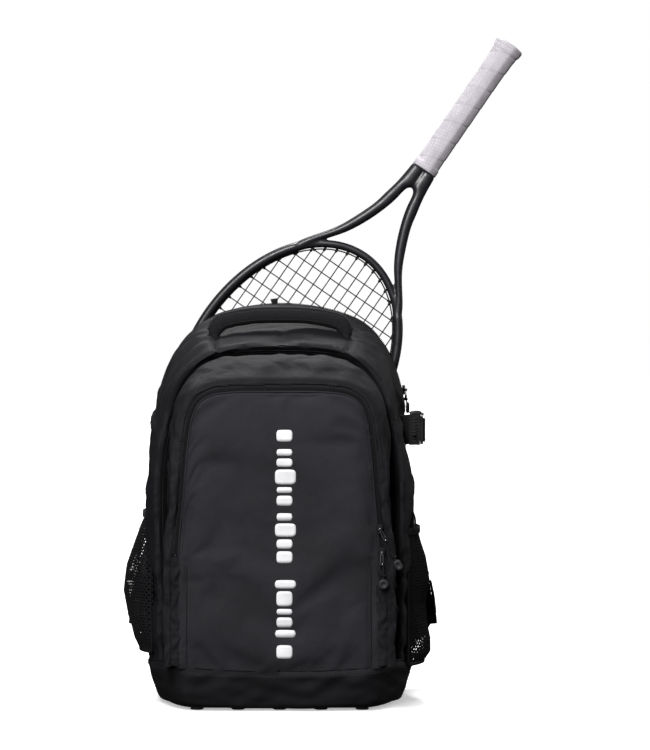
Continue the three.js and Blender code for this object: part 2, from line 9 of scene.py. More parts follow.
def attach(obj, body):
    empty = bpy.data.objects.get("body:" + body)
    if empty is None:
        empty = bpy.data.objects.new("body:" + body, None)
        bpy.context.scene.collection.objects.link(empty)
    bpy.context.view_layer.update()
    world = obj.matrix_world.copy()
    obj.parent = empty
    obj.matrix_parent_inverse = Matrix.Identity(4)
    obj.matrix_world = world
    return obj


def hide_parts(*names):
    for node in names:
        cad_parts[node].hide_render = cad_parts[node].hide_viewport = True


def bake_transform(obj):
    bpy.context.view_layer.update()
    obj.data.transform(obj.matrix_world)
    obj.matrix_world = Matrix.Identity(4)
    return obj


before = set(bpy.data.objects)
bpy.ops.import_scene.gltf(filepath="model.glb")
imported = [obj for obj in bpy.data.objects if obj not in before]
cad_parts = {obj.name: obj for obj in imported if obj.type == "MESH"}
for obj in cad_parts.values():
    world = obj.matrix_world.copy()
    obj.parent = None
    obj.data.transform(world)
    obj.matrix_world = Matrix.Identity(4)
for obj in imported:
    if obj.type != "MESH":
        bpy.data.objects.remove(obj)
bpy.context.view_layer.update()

MM = 0.001
TAU = 2 * math.pi
scene = bpy.context.scene

# ---------------------------------------------------------------- driving dimensions
# They are those of the CAD part, but WIDEST and REAR keep the shoulders a little narrower, as in the photo.
SEAM_Z, GAP = 55, 0.4
FRONT_Y, RIM_Y, LID_Y, FLAP_EDGE_Y, DIVIDER_Y, BACK_Y = -106, -101, -56, -62, 58, 97
FOLD_Z, POCKET_FOLD_Z = 146, 186
LID_BEND, FLAP_BEND = (126, 166), (177, 197)  # the heights on either side of the two folds
SPLIT_Z = POCKET_FOLD_Z - 10  # where the front cloth's lower and upper pieces meet
PANEL_SEAM_X = 110.4  # the seams beside the front panel, below the pocket's zip
MOUTH_LEFT_Z, MOUTH_RIGHT_Z = 425, 394
OVERHANG = 13
HEM = 8.5  # the pocket flap's edge, inside the pocket's outline
ARCH_STEPS, RIM_STEPS = 220, 240
FLAP_EDGE = [
    (146, 56), (148, 168), (148, 288), (139, 345), (126, 390), (105, 418), (80, 434), (40, 440), (0, 441),
]
WIDEST = [
    (160, 56), (162, 150), (162, 237), (157, 300), (151, 345), (146, 375), (139, 400), (127, 424), (104, 446),
    (76, 458), (40, 463), (0, 464),
]
REAR = [
    (156, 56), (158, 150), (158, 237), (156, 300), (153, 345), (150, 382), (141, 414), (124, 443), (98, 467),
    (62, 481), (0, 489),
]
BACK = [
    (150, 56), (152, 150), (152, 237), (150, 355), (147, 392), (137, 430), (114, 461), (72, 479), (0, 486),
]
POCKET = [
    (131, 56), (130, 185), (124, 255), (118, 324), (112, 358), (101, 379), (84, 389), (60, 393), (0, 394),
]
BASE_PLAN = [
    (0, -105), (70, -105), (112, -102), (134, -84), (148, -60), (160, -25), (163, 5), (161, 45), (157, 80),
    (148, 99), (122, 104), (60, 105), (0, 105),
]

# ---------------------------------------------------------------- camera, light and floor
camera = bpy.data.objects.new("camera", bpy.data.cameras.new("camera"))
scene.collection.objects.link(camera)
camera.data.lens = 100
camera.data.sensor_width = 36
camera.location = (0.055, -2.6, 0.405)
camera.rotation_euler = (math.radians(90), 0, 0)
scene.camera = camera
scene.view_settings.view_transform = "Standard"

world = bpy.data.worlds.new("studio")
scene.world = world
world.use_nodes = True
world.node_tree.nodes["Background"].inputs["Color"].default_value = (1, 1, 1, 1)
world.node_tree.nodes["Background"].inputs["Strength"].default_value = 0.04


def lamp(name, kind, place, target, power, size):
    """A sun's size is its angle in degrees, and an area light's is its side in metres."""
    light = bpy.data.objects.new(name, bpy.data.lights.new(name, kind))
    scene.collection.objects.link(light)
    if kind == "SUN":
        light.data.angle = math.radians(size)
    else:
        light.data.size = size
    light.data.energy = power
    light.location = place
    light.rotation_euler = (Vector(target) - Vector(place)).to_track_quat("-Z", "Y").to_euler()


lamp("key", "SUN", (-0.7, -2.6, 1.3), (0, 0, 0.3), 1.3, 22)
lamp("overhead", "SUN", (-0.1, 1.1, 2.8), (0, 0, 0.3), 4.6, 24)
lamp("front_box", "AREA", (-0.35, -1.15, 1.3), (0, 0, 0.45), 25, 0.6)
lamp("rim", "SUN", (2.4, 1.3, 1.4), (0, 0, 0.3), 0.6, 30)


# ---------------------------------------------------------------- materials
def material(name, colour, rough, metallic=0.0, specular=0.5, sheen=0.0, coat=0.0):
    """A plain Principled material, its node tree and its shader."""
    made = bpy.data.materials.new(name)
    made.use_nodes = True
    tree = made.node_tree
    shader = tree.nodes["Principled BSDF"]
    shader.inputs["Base Color"].default_value = (*colour, 1)
    shader.inputs["Roughness"].default_value = rough
    shader.inputs["Metallic"].default_value = metallic
    shader.inputs["Specular IOR Level"].default_value = specular
    shader.inputs["Sheen Weight"].default_value = sheen
    shader.inputs["Sheen Roughness"].default_value = 0.45
    shader.inputs["Coat Weight"].default_value = coat
    shader.inputs["Coat Roughness"].default_value = 0.12
    return made, tree, shader


def math_node(tree, operation, a, b=None):
    """A math node of two numbers or sockets."""
    node = tree.nodes.new("ShaderNodeMath")
    node.operation = operation
    for socket, value in zip(node.inputs, (a, b)):
        if value is None:
            continue
        if isinstance(value, (int, float)):
            socket.default_value = value
        else:
            tree.links.new(value, socket)
    return node.outputs[0]


def noise(tree, coordinates, scale, detail=3.0, rough=0.55, distortion=0.0):
    """A noise texture; the scale is in features per metre."""
    node = tree.nodes.new("ShaderNodeTexNoise")
    node.inputs["Scale"].default_value = scale
    node.inputs["Detail"].default_value = detail
    node.inputs["Roughness"].default_value = rough
    node.inputs["Distortion"].default_value = distortion
    tree.links.new(coordinates, node.inputs["Vector"])
    return node.outputs["Fac"]


def ramp(tree, factor, low, high, dark, light):
    """Maps a factor from low..high to dark..light."""
    node = tree.nodes.new("ShaderNodeMapRange")
    tree.links.new(factor, node.inputs["Value"])
    for name, value in (("From Min", low), ("From Max", high), ("To Min", dark), ("To Max", light)):
        node.inputs[name].default_value = value
    return node.outputs[0]


def bump(tree, shader, height, distance, strength=1.0):
    """Stacks a bump on whatever already drives the shader's normal."""
    node = tree.nodes.new("ShaderNodeBump")
    node.inputs["Strength"].default_value = strength
    node.inputs["Distance"].default_value = distance
    tree.links.new(height, node.inputs["Height"])
    if shader.inputs["Normal"].links:
        tree.links.new(shader.inputs["Normal"].links[0].from_socket, node.inputs["Normal"])
    tree.links.new(node.outputs[0], shader.inputs["Normal"])


def tint(tree, shader, factor, colour, low, high):
    """The base colour, scaled between low and high by a factor."""
    mix = tree.nodes.new("ShaderNodeMix")
    mix.data_type = "RGBA"
    tree.links.new(factor, mix.inputs["Factor"])
    mix.inputs["A"].default_value = (*[c * low for c in colour], 1)
    mix.inputs["B"].default_value = (*[c * high for c in colour], 1)
    tree.links.new(mix.outputs["Result"], shader.inputs["Base Color"])


def coordinate(tree, kind):
    return tree.nodes.new("ShaderNodeTexCoord").outputs[kind]


def threads(tree, pitch_u, pitch_v):
    """Sine waves along both directions of a metric UV map."""
    split = tree.nodes.new("ShaderNodeSeparateXYZ")
    tree.links.new(coordinate(tree, "UV"), split.inputs[0])
    waves = []
    for axis, pitch in (("X", pitch_u), ("Y", pitch_v)):
        turned = math_node(tree, "MULTIPLY", split.outputs[axis], TAU / (pitch * MM))
        waves.append(math_node(tree, "SINE", turned))
    return waves


WORN = 0.25  # how much lighter or darker a cloth's dye is from place to place


def fabric(name, colour, rough, specular, sheen, pitch, depth, crumple=0.0):
    """Woven cloth: a plain weave at that pitch, uneven dye, and soft creases."""
    made, tree, shader = material(name, colour, rough, 0, specular, sheen)
    where = coordinate(tree, "Object")
    patches = noise(tree, where, 9, 4, 0.6, 0.4)
    tint(tree, shader, ramp(tree, patches, 0.3, 0.7, 0, 1), colour, 1 - WORN, 1 + WORN)
    fine = noise(tree, where, 420, 2)
    tree.links.new(ramp(tree, fine, 0.2, 0.8, rough - 0.1, rough + 0.1), shader.inputs["Roughness"])
    u, v = threads(tree, pitch, pitch)
    bump(tree, shader, math_node(tree, "MULTIPLY", u, v), depth * MM)
    if crumple:
        bump(tree, shader, noise(tree, where, 55, 3, 0.5, 0.8), crumple * MM)
    return made


def webbing_material(name, colour):
    """Ribbed woven tape."""
    made, tree, shader = material(name, colour, 0.7, 0, 0.12, 0.03)
    u, v = threads(tree, 1.7, 2.6)
    ribs = math_node(tree, "ADD", math_node(tree, "MULTIPLY", u, 0.7), math_node(tree, "MULTIPLY", v, 0.5))
    bump(tree, shader, ribs, 0.16 * MM)
    tint(tree, shader, noise(tree, coordinate(tree, "Object"), 300, 2), colour, 0.6, 1.5)
    return made


def mesh_foam(name, colour):
    """Spacer mesh over foam: small round holes in rows."""
    made, tree, shader = material(name, colour, 0.85, 0, 0.15, 0.2)
    cells = tree.nodes.new("ShaderNodeTexVoronoi")
    cells.inputs["Scale"].default_value = 300
    cells.inputs["Randomness"].default_value = 0.15
    tree.links.new(coordinate(tree, "Object"), cells.inputs["Vector"])
    holes = ramp(tree, cells.outputs["Distance"], 0.2, 0.5, 0, 1)
    tint(tree, shader, holes, colour, 0.35, 1.5)
    bump(tree, shader, holes, 0.5 * MM)
    return made


def moulded(name, colour, rough, grain=900, depth=0.05, specular=0.4, coat=0.0, metallic=0.0):
    """Plastic, rubber, metal or lacquer with a fine grain and uneven gloss."""
    made, tree, shader = material(name, colour, rough, metallic, specular, 0, coat)
    where = coordinate(tree, "Object")
    tint(tree, shader, noise(tree, where, 60, 3), colour, 0.8, 1.25)
    gloss = ramp(tree, noise(tree, where, 140, 3, 0.6), 0.3, 0.7, max(rough - 0.08, 0.05), rough + 0.1)
    tree.links.new(gloss, shader.inputs["Roughness"])
    bump(tree, shader, noise(tree, where, grain, 2), depth * MM, 0.5)
    return made


def grip_material(name, colour):
    """Perforated, slightly soiled grip tape."""
    made, tree, shader = material(name, colour, 0.6, 0, 0.3, 0.15)
    u, v = threads(tree, 2.6, 2.6)
    pores = ramp(tree, math_node(tree, "MULTIPLY", u, v), 0.45, 0.8, 0, 1)
    where = coordinate(tree, "Object")
    soiled = ramp(tree, noise(tree, where, 45, 5, 0.65), 0.25, 0.75, 0.45, 1.0)
    shade = math_node(tree, "SUBTRACT", soiled, math_node(tree, "MULTIPLY", pores, 0.45))
    tint(tree, shader, shade, colour, 0.55, 1.08)
    bump(tree, shader, pores, -0.35 * MM)
    bump(tree, shader, noise(tree, where, 260, 3), 0.12 * MM)
    return made


# fabric() takes a colour, roughness, specular, sheen, and the weave's pitch, its depth and the crumple in mm;
# moulded() takes a colour, roughness, the scale and depth of its grain, specular, coat and metallic.
MATERIAL = {
    "shell_fabric": fabric("shell_fabric", (0.0190, 0.0182, 0.0222), 0.55, 0.13, 0.0, 0.9, 0.07, 0.5),
    # The next cloth is the same as shell_fabric at about half its colour: painted shade for the panels round
    # the sides, below the lip and in the racket walls.
    "shade_darkened_fabric": fabric("shade_darkened_fabric", (0.0100, 0.0097, 0.0116), 0.56, 0.11, 0.0, 0.9, 0.07, 0.7),
    "lining_fabric": fabric("lining_fabric", (0.020, 0.020, 0.021), 0.85, 0.1, 0.0, 0.7, 0.05, 0.5),
    "boot_fabric": fabric("boot_fabric", (0.0125, 0.0121, 0.0140), 0.56, 0.13, 0.0, 1.4, 0.12, 0.6),
    "mesh_fabric": fabric("mesh_fabric", (0.009, 0.009, 0.010), 0.8, 0.08, 0.0, 0.8, 0.06),
    "webbing": webbing_material("webbing", (0.0085, 0.0085, 0.0096)),
    "hard_plastic": moulded("hard_plastic", (0.006, 0.006, 0.0066), 0.4, 1200, 0.06, 0.25),
    "zip_metal": moulded("zip_metal", (0.42, 0.42, 0.44), 0.3, 500, 0.03, 0.5, 0, 1.0),
    "puller_rubber": moulded("puller_rubber", (0.020, 0.020, 0.023), 0.6, 700, 0.08, 0.3),
    "padded_mesh": mesh_foam("padded_mesh", (0.017, 0.017, 0.018)),
    "zip_coil": moulded("zip_coil", (0.006, 0.006, 0.007), 0.55, 800, 0.05, 0.2),
    "racket_lacquer": moulded("racket_lacquer", (0.012, 0.012, 0.015), 0.38, 60, 0.01, 0.4, 0.1),
    "racket_plastic": moulded("racket_plastic", (0.010, 0.010, 0.010), 0.5, 900, 0.05, 0.3),
    "grip_wrap": grip_material("grip_wrap", (0.54, 0.505, 0.55)),
    "racket_string": moulded("racket_string", (0.012, 0.012, 0.012), 0.4, 900, 0.03, 0.3),
    "thread": moulded("thread", (0.03, 0.03, 0.033), 0.7, 900, 0.05, 0.2),
    "film": moulded("film", (0.80, 0.80, 0.82), 0.45, 300, 0.04, 0.3),
}


# ---------------------------------------------------------------- curves and outlines, in millimetres
def even(line, count):
    """count + 1 points spaced evenly along a line of points."""
    line = np.asarray(line, float)
    run = np.r_[0, np.cumsum(np.linalg.norm(np.diff(line, axis=0), axis=1))]
    at = np.linspace(0, run[-1], count + 1)
    return np.stack([np.interp(at, run, line[:, k]) for k in range(line.shape[1])], 1)


def smooth_line(points, count, closed=False):
    """A centripetal Catmull-Rom curve through points, as count + 1 even points."""
    p = np.asarray(points, float)
    if closed:
        p = np.vstack([p[-1], p, p[0], p[1]])
    else:
        p = np.vstack([2 * p[0] - p[1], p, 2 * p[-1] - p[-2]])
    out = []
    for i in range(1, len(p) - 2):
        gaps = np.linalg.norm(np.diff(p[i - 1:i + 3], axis=0), axis=1)
        knots = np.r_[0, np.cumsum(np.maximum(gaps, 1e-6) ** 0.5)]
        t = np.linspace(knots[1], knots[2], 24, endpoint=False)[:, None]
        level = [p[i - 1 + k] for k in range(4)]
        for step in (1, 2):
            level = [
                ((knots[k + step] - t) * level[k] + (t - knots[k]) * level[k + 1])
                / (knots[k + step] - knots[k])
                for k in range(len(level) - 1)
            ]
        out.append(((knots[2] - t) * level[0] + (t - knots[1]) * level[1]) / (knots[2] - knots[1]))
    return even(np.vstack([*out, p[-2]]), count)


def arch(half, y, inset=0, count=160):
    """The arch through a half outline and its mirror image, moved inwards, in the plane of that y."""
    left = [(-w, z) for w, z in half]
    line = smooth_line(left + [(w, z) for w, z in half[-2::-1]], count)
    along = unit(np.gradient(line, axis=0))
    x = line[:, 0] + inset * along[:, 1]
    z = line[:, 1] - inset * along[:, 0]
    z[[0, -1]] = SEAM_Z + GAP
    return np.stack([x, np.full_like(x, y), z], 1)


def unit(vectors):
    """Rows of vectors, each made one long."""
    return vectors / np.maximum(np.linalg.norm(vectors, axis=-1), 1e-9)[..., None]


def above(line, z):
    """The points of a line that are higher than z."""
    return line[line[:, 2] > z]


def outward(near, far):
    """Unit directions from the points of far to those of near."""
    return unit(near - far)


def mid_ring(a, b, share, side, top):
    """A ring between two others, bulging by side at its sides and by top over its top."""
    q = a * (1 - share) + b * share
    out = unit(np.stack([q[:, 0], np.maximum(q[:, 2] - 250, 0)], 1))
    bulge = side + (top - side) * out[:, 1]
    q[:, 0] += out[:, 0] * bulge
    q[1:-1, 2] += (out[:, 1] * bulge)[1:-1]
    return q


def across_rings(rings, count):
    """A grid through rings of equal length, smooth from ring to ring: (count + 1, points, 3)."""
    rings = np.stack(rings)
    return np.stack([smooth_line(rings[:, i], count) for i in range(rings.shape[1])], 1)


def coons(ring, sides, tops, corner=0.32):
    """A grid that fills an arch: its left side, top and right side, and a straight bottom."""
    n = len(ring) - 1
    a = int(n * corner)
    left, right = even(ring[:a + 1], sides), even(ring[n - a:][::-1], sides)
    top = even(ring[a:n - a + 1], tops)
    bottom = np.linspace(ring[0], ring[-1], tops + 1)
    v, u = np.mgrid[0:1:(sides + 1) * 1j, 0:1:(tops + 1) * 1j][:, :, :, None]
    return (
        (1 - u) * left[:, None] + u * right[:, None] + (1 - v) * bottom[None] + v * top[None]
        - (1 - u) * (1 - v) * ring[0] - u * (1 - v) * ring[-1] - (1 - u) * v * top[0] - u * v * top[-1]
    )


def grid_normals(grid):
    """Unit normals at the points of a grid."""
    du, dv = np.gradient(grid, axis=0), np.gradient(grid, axis=1)
    return unit(np.cross(du, dv))


def ripple(x, z, seed, size, octaves=3):
    """A smooth field of about -1 to 1, whose features are about that size."""
    made = np.random.default_rng(seed)
    total = np.zeros_like(x)
    for k in range(octaves):
        for _ in range(5):
            angle, phase = made.uniform(0, TAU, 2)
            wave = TAU / (size * 0.6 ** k * made.uniform(0.8, 1.6))
            total += 0.6 ** k * np.sin(wave * (x * math.cos(angle) + z * math.sin(angle)) + phase)
    return total / 4


def crease(x, z, start, end, width, height):
    """A soft ridge along a line, dying out at its ends."""
    s, e = np.array(start, float), np.array(end, float)
    d = e - s
    t = ((x - s[0]) * d[0] + (z - s[1]) * d[1]) / (d @ d)
    off = ((x - s[0]) * d[1] - (z - s[1]) * d[0]) / math.sqrt(d @ d)
    fade = np.clip(4 * t * (1 - t), 0, 1)
    return height * fade * np.exp(-((off / width) ** 2))


def folds(x, z, width, lines):
    """Several creases; each of the lines is a start, an end and a height."""
    return sum(crease(x, z, start, end, width, height) for start, end, height in lines)


def between(value, start, fade, end=None, end_fade=1.0):
    """A share that grows from 0 at start over fade, and falls to 0 again at end."""
    share = np.clip((value - start) / fade, 0, 1)
    return share if end is None else share * np.clip((end - value) / end_fade, 0, 1)


# ---------------------------------------------------------------- meshes
def mesh(name, points, faces, look, uv=None):
    """A mesh object from points in millimetres, with the look's material."""
    data = bpy.data.meshes.new(name)
    data.from_pydata((np.asarray(points, float).reshape(-1, 3) * MM).tolist(), [], faces)
    data.materials.append(MATERIAL[look])
    data.shade_smooth()
    ob = bpy.data.objects.new(name, data)
    scene.collection.objects.link(ob)
    if uv is not None:
        set_uv(ob, np.asarray(uv, float).reshape(-1, 2) * MM)
    return ob


def set_uv(ob, uv):
    """Gives each vertex of a mesh its place in the UV map, in metres."""
    layer = ob.data.uv_layers.get("UVMap") or ob.data.uv_layers.new(name="UVMap")
    corner = np.zeros(len(ob.data.loops), int)
    ob.data.loops.foreach_get("vertex_index", corner)
    layer.data.foreach_set("uv", uv[corner].astype(np.float32).ravel())


def places(ob):
    """The vertices of a mesh, in metres."""
    co = np.zeros(len(ob.data.vertices) * 3, np.float32)
    ob.data.vertices.foreach_get("co", co)
    return co.reshape(-1, 3).astype(float)


def grid_faces(rows, columns, wrap=False):
    """The faces of a grid of points; wrap joins its last column to its first."""
    r, c = np.mgrid[0:rows - 1, 0:columns if wrap else columns - 1]
    a = (r * columns + c).ravel()
    b = (r * columns + (c + 1) % columns).ravel()
    return np.stack([a, b, b + columns, a + columns], 1).tolist()


def grid_uv(grid):
    """A map of a grid by its lengths along and up it."""
    along = np.cumsum(np.linalg.norm(np.diff(grid, axis=1, prepend=grid[:, :1]), axis=2), axis=1)
    up = np.cumsum(np.linalg.norm(np.diff(grid, axis=0, prepend=grid[:1]), axis=2), axis=0)
    return np.stack([along, up], 2)


def apply(ob):
    """Turns an object's modifiers into its mesh."""
    kept = ob.data.materials[0] if ob.data.materials else None
    made = bpy.data.meshes.new_from_object(ob.evaluated_get(bpy.context.evaluated_depsgraph_get()))
    ob.modifiers.clear()
    ob.data = made
    if kept and not made.materials:
        made.materials.append(kept)
    made.shade_smooth()
    return ob


def thicken(ob, thick, offset=-1.0):
    """offset -1 puts the new side behind the face."""
    m = ob.modifiers.new("thick", "SOLIDIFY")
    m.thickness = thick * MM
    m.offset = offset
    apply(ob)
    ob.data.set_sharp_from_angle(angle=math.radians(55))
    return ob


def finer(ob):
    """Subdivides a mesh once, smoothly."""
    m = ob.modifiers.new("finer", "SUBSURF")
    m.levels = m.render_levels = 1
    return apply(ob)


def welded(ob, distance):
    """Merges the points that are closer than that."""
    m = ob.modifiers.new("weld", "WELD")
    m.merge_threshold = distance * MM
    return apply(ob)


def rounded(ob, width, segments=2, angle=40):
    """Softens the sharp edges of an object with a bevel."""
    m = ob.modifiers.new("edges", "BEVEL")
    m.width = width * MM
    m.segments = segments
    m.limit_method = "ANGLE"
    m.angle_limit = math.radians(angle)
    m.harden_normals = False
    return ob


def settle(ob, held, swell=0.0, pressure=0.0, frames=16, stiff=12, bend=0.4, cap=4.0):
    """Cloth settles with its held points fixed; swell is its spare length, and no point moves past cap."""
    rest = places(ob)
    group = ob.vertex_groups.new(name="held")
    group.add([int(i) for i in np.flatnonzero(held)], 1.0, "REPLACE")
    m = ob.modifiers.new("cloth", "CLOTH")
    s = m.settings
    s.quality = 5
    s.mass = 0.3
    s.tension_stiffness = s.compression_stiffness = stiff
    s.shear_stiffness = stiff * 0.6
    s.bending_stiffness = bend
    s.air_damping = 2
    s.vertex_group_mass = "held"
    s.shrink_min = -swell
    s.use_pressure = pressure != 0
    s.uniform_pressure_force = pressure
    s.effector_weights.gravity = 0
    m.collision_settings.use_collision = False
    m.point_cache.frame_start, m.point_cache.frame_end = 1, frames
    for f in range(1, frames + 1):
        scene.frame_set(f)
    evaluated = ob.evaluated_get(bpy.context.evaluated_depsgraph_get())
    moved = np.array([v.co for v in evaluated.data.vertices], float)
    ob.modifiers.clear()
    ob.vertex_groups.clear()
    scene.frame_set(1)
    step = moved - rest
    step[~np.isfinite(step).all(1)] = 0
    size = np.maximum(np.linalg.norm(step, axis=1), 1e-9)
    step *= (cap * MM * np.tanh(size / (cap * MM)) / size)[:, None]
    ob.data.vertices.foreach_set("co", (rest + step).astype(np.float32).ravel())
    ob.data.update()
    return ob


def edge_held(rows, columns):
    """Marks the outer points of a grid."""
    held = np.zeros((rows, columns), bool)
    held[0] = held[-1] = held[:, 0] = held[:, -1] = True
    return held.ravel()


def panel(name, grid, look, push, swell=0.02, cap=3.0, thick=1.6):
    """A sewn panel: a grid pushed out along its normals, settled between its seams, and thickened."""
    grid = grid + grid_normals(grid) * push[:, :, None]
    rows, columns = grid.shape[:2]
    ob = mesh(name, grid, grid_faces(rows, columns), look, grid_uv(grid))
    settle(ob, edge_held(rows, columns), swell, cap=cap)
    return thicken(ob, thick)


def frames_along(line, up):
    """Unit tangents, and side and up directions square to them, along a line."""
    line = np.asarray(line, float)
    tangent = unit(np.gradient(line, axis=0))
    side = unit(np.cross(tangent, np.broadcast_to(np.asarray(up, float), line.shape)))
    return tangent, side, np.cross(side, tangent)


def swept(line, section, up=(0, -1, 0), closed=False, scale=None):
    """Points and faces of a section (side, up) swept along a line."""
    line = np.asarray(line, float)
    _, side, top = frames_along(np.vstack([line[-2], line, line[1]]) if closed else line, up)
    if closed:
        side, top = side[1:-1], top[1:-1]
    section = np.asarray(section, float)
    s = np.ones((len(line), 2)) if scale is None else np.asarray(scale, float).reshape(len(line), -1)
    points = (
        line[:, None]
        + side[:, None] * section[None, :, :1] * s[:, None, :1]
        + top[:, None] * section[None, :, 1:] * s[:, None, -1:]
    )
    n, m = len(line), len(section)
    faces = [f[::-1] for f in grid_faces(n, m, True)]
    if closed:
        faces += [[(n - 1) * m + (i + 1) % m, (n - 1) * m + i, i, (i + 1) % m][::-1] for i in range(m)]
    else:
        faces += [list(range(m)), list(range((n - 1) * m, n * m))[::-1]]
    return points.reshape(-1, 3), faces


def oval(wide, tall, sides=12, power=2.0):
    """A section: an ellipse at power 2, and closer to a rectangle above it."""
    a = np.arange(sides) * TAU / sides
    c, s = np.cos(a), np.sin(a)
    r = (np.abs(c) ** power + np.abs(s) ** power) ** (-1 / power)
    return np.stack([wide / 2 * r * c, tall / 2 * r * s], 1)


def tube(name, line, wide, look, tall=None, sides=10, up=(0, -1, 0), closed=False, scale=None, power=2.0):
    """A mesh swept along a line; wide is across up and tall is along it."""
    points, faces = swept(line, oval(wide, tall or wide, sides, power), up, closed, scale)
    run = np.r_[0, np.cumsum(np.linalg.norm(np.diff(np.asarray(line, float), axis=0), axis=1))]
    uv = np.stack(np.meshgrid(np.arange(sides) * math.pi * wide / sides, run), 2)
    return mesh(name, points, faces, look, uv)


def joined(name, parts, look):
    """One mesh from several lists of (points, faces)."""
    points, faces, start = [], [], 0
    for p, f in parts:
        p = np.asarray(p, float).reshape(-1, 3)
        points.append(p)
        faces += [[i + start for i in face] for face in f]
        start += len(p)
    points = np.vstack(points)
    return mesh(name, points, faces, look, points[:, [0, 2]])


# The faces of a box, by the numbers of its corners in brick().
CUBE = [(0, 1, 3, 2), (4, 6, 7, 5), (0, 4, 5, 1), (2, 3, 7, 6), (0, 2, 6, 4), (1, 5, 7, 3)]


def brick(centre, axes, size, pinch=1.0):
    """A box whose last side can be narrower, as points and faces; axes are three unit directions."""
    c = np.asarray(centre, float)
    x, y, z = (np.asarray(a, float) for a in axes)
    points = [
        c + x * i * size[0] / 2 * (pinch if k > 0 else 1) + y * j * size[1] / 2 * (pinch if k > 0 else 1)
        + z * k * size[2] / 2
        for i in (-1, 1) for j in (-1, 1) for k in (-1, 1)
    ]
    flip = np.dot(np.cross(x, y), z) > 0
    return points, [list(f) if flip else list(f[::-1]) for f in CUBE]


def spots(line, out, pitch):
    """Places at that pitch along a line, with the tangent, side and up directions there."""
    line = np.asarray(line, float)
    count = max(int(np.linalg.norm(np.diff(line, axis=0), axis=1).sum() / pitch), 2)
    out = np.broadcast_to(np.asarray(out, float), line.shape)
    both = even(np.hstack([line, out * 1e-4]), count)
    centres, up = both[:, :3], both[:, 3:] * 1e4
    return zip(centres, *frames_along(centres, up))


STITCH_LONG, STITCH_WIDE, STITCH_LIFT = 2.7, 0.75, 0.15
COIL_GAP = 0.9


def stitches(name, line, out=(0, -1, 0), pitch=4.2):
    """A row of thread stitches along a line; out is the outward direction, one or one for each point."""
    parts = []
    faces = [
        [r * 4 + i, r * 4 + (i + 1) % 4, r * 4 + 4 + (i + 1) % 4, r * 4 + 4 + i]
        for r in range(3)
        for i in range(4)
    ]
    faces += [[3, 2, 1, 0], [12, 13, 14, 15]]
    for c, t, s, u in spots(line, out, pitch):
        ring = []
        for along, r in ((-0.5, 0.35), (-0.3, 1), (0.3, 1), (0.5, 0.35)):
            for a in range(4):
                angle = TAU * (a + 0.5) / 4
                round_by = (s * math.cos(angle) + u * (math.sin(angle))) * r * STITCH_WIDE / 2
                ring.append(c + t * along * STITCH_LONG + round_by + u * STITCH_LIFT)
        parts.append((ring, faces))
    return joined(name, parts, "thread")


def teeth(name, line, out, pitch, wide, tall):
    """The coil of a zip: two small bars for each turn, with a gap down the middle."""
    bar = wide / 2 - COIL_GAP / 4
    parts = [
        brick(c + s * j * wide / 4, (s, t, u), (bar, pitch * 0.62, tall), 0.7)
        for c, t, s, u in spots(line, out, pitch)
        for j in (-1, 1)
    ]
    return joined(name, parts, "zip_coil")


def on_bag(ob, body="bag", *nodes):
    """Lets a piece ride on a body, and hides the CAD nodes that it replaces."""
    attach(ob, body)
    if nodes:
        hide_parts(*nodes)
    return ob


def bend_between(ob, lower, upper, heights, *nodes):
    """Fabric that crosses a fold line on the front, which lies halfway between two heights: its mesh is kept
    where it stands, on no body, and the CAD nodes it replaces are hidden. The arguments lower, upper and
    heights are not used.
    """
    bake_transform(ob)
    if nodes:
        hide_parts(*nodes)
    return ob


def over_lid_fold(ob, *nodes):
    return bend_between(ob, "bag", "front_lid", LID_BEND, *nodes)


def over_flap_fold(ob, *nodes):
    return bend_between(ob, "front_lid", "pocket_flap", FLAP_BEND, *nodes)


def cushion(name, points, faces, look, held, pressure, cap, voxel):
    """A stuffed piece: remeshed evenly, blown up as cloth with its held seams fixed, then made finer."""
    ob = mesh(name, points, faces, look)
    m = ob.modifiers.new("even", "REMESH")
    m.mode = "VOXEL"
    m.voxel_size = voxel * MM
    apply(ob)
    settle(ob, held(places(ob) / MM), 0.0, pressure, 18, stiff=8, bend=0.3, cap=cap)
    finer(ob)
    set_uv(ob, places(ob)[:, [0, 2]])
    return ob


# ---------------------------------------------------------------- base boot
PLAN_STEPS = 200


def plan_ring(z, inset):
    """The base's outline, moved inwards, at height z."""
    line = smooth_line(BASE_PLAN + [(-x, y) for x, y in BASE_PLAN[-2:0:-1]], PLAN_STEPS, True)
    line = line[:PLAN_STEPS]
    along = unit(np.roll(line, -1, 0) - np.roll(line, 1, 0))
    x, y = line[:, 0] - inset * along[:, 1], line[:, 1] + inset * along[:, 0]
    return np.stack([x, y, np.full(PLAN_STEPS, float(z))], 1)


def seam_height(x, y):
    """The base seam: it sags at the front middle and climbs at the front corners."""
    front = np.clip((-y - 40) / 60, 0, 1)
    return SEAM_Z + GAP / 2 + front * (-4.5 + 12 * np.clip(np.abs(x) / 150, 0, 1) ** 3)


BOOT_LEVELS = [  # height and inset of each ring, from under the bag to the base seam
    (2.6, 70), (2.4, 30), (2.8, 17), (6, 11.5), (13, 8.5), (24, 5), (38, 0.6), (49, -2.8), (55, 0),
]


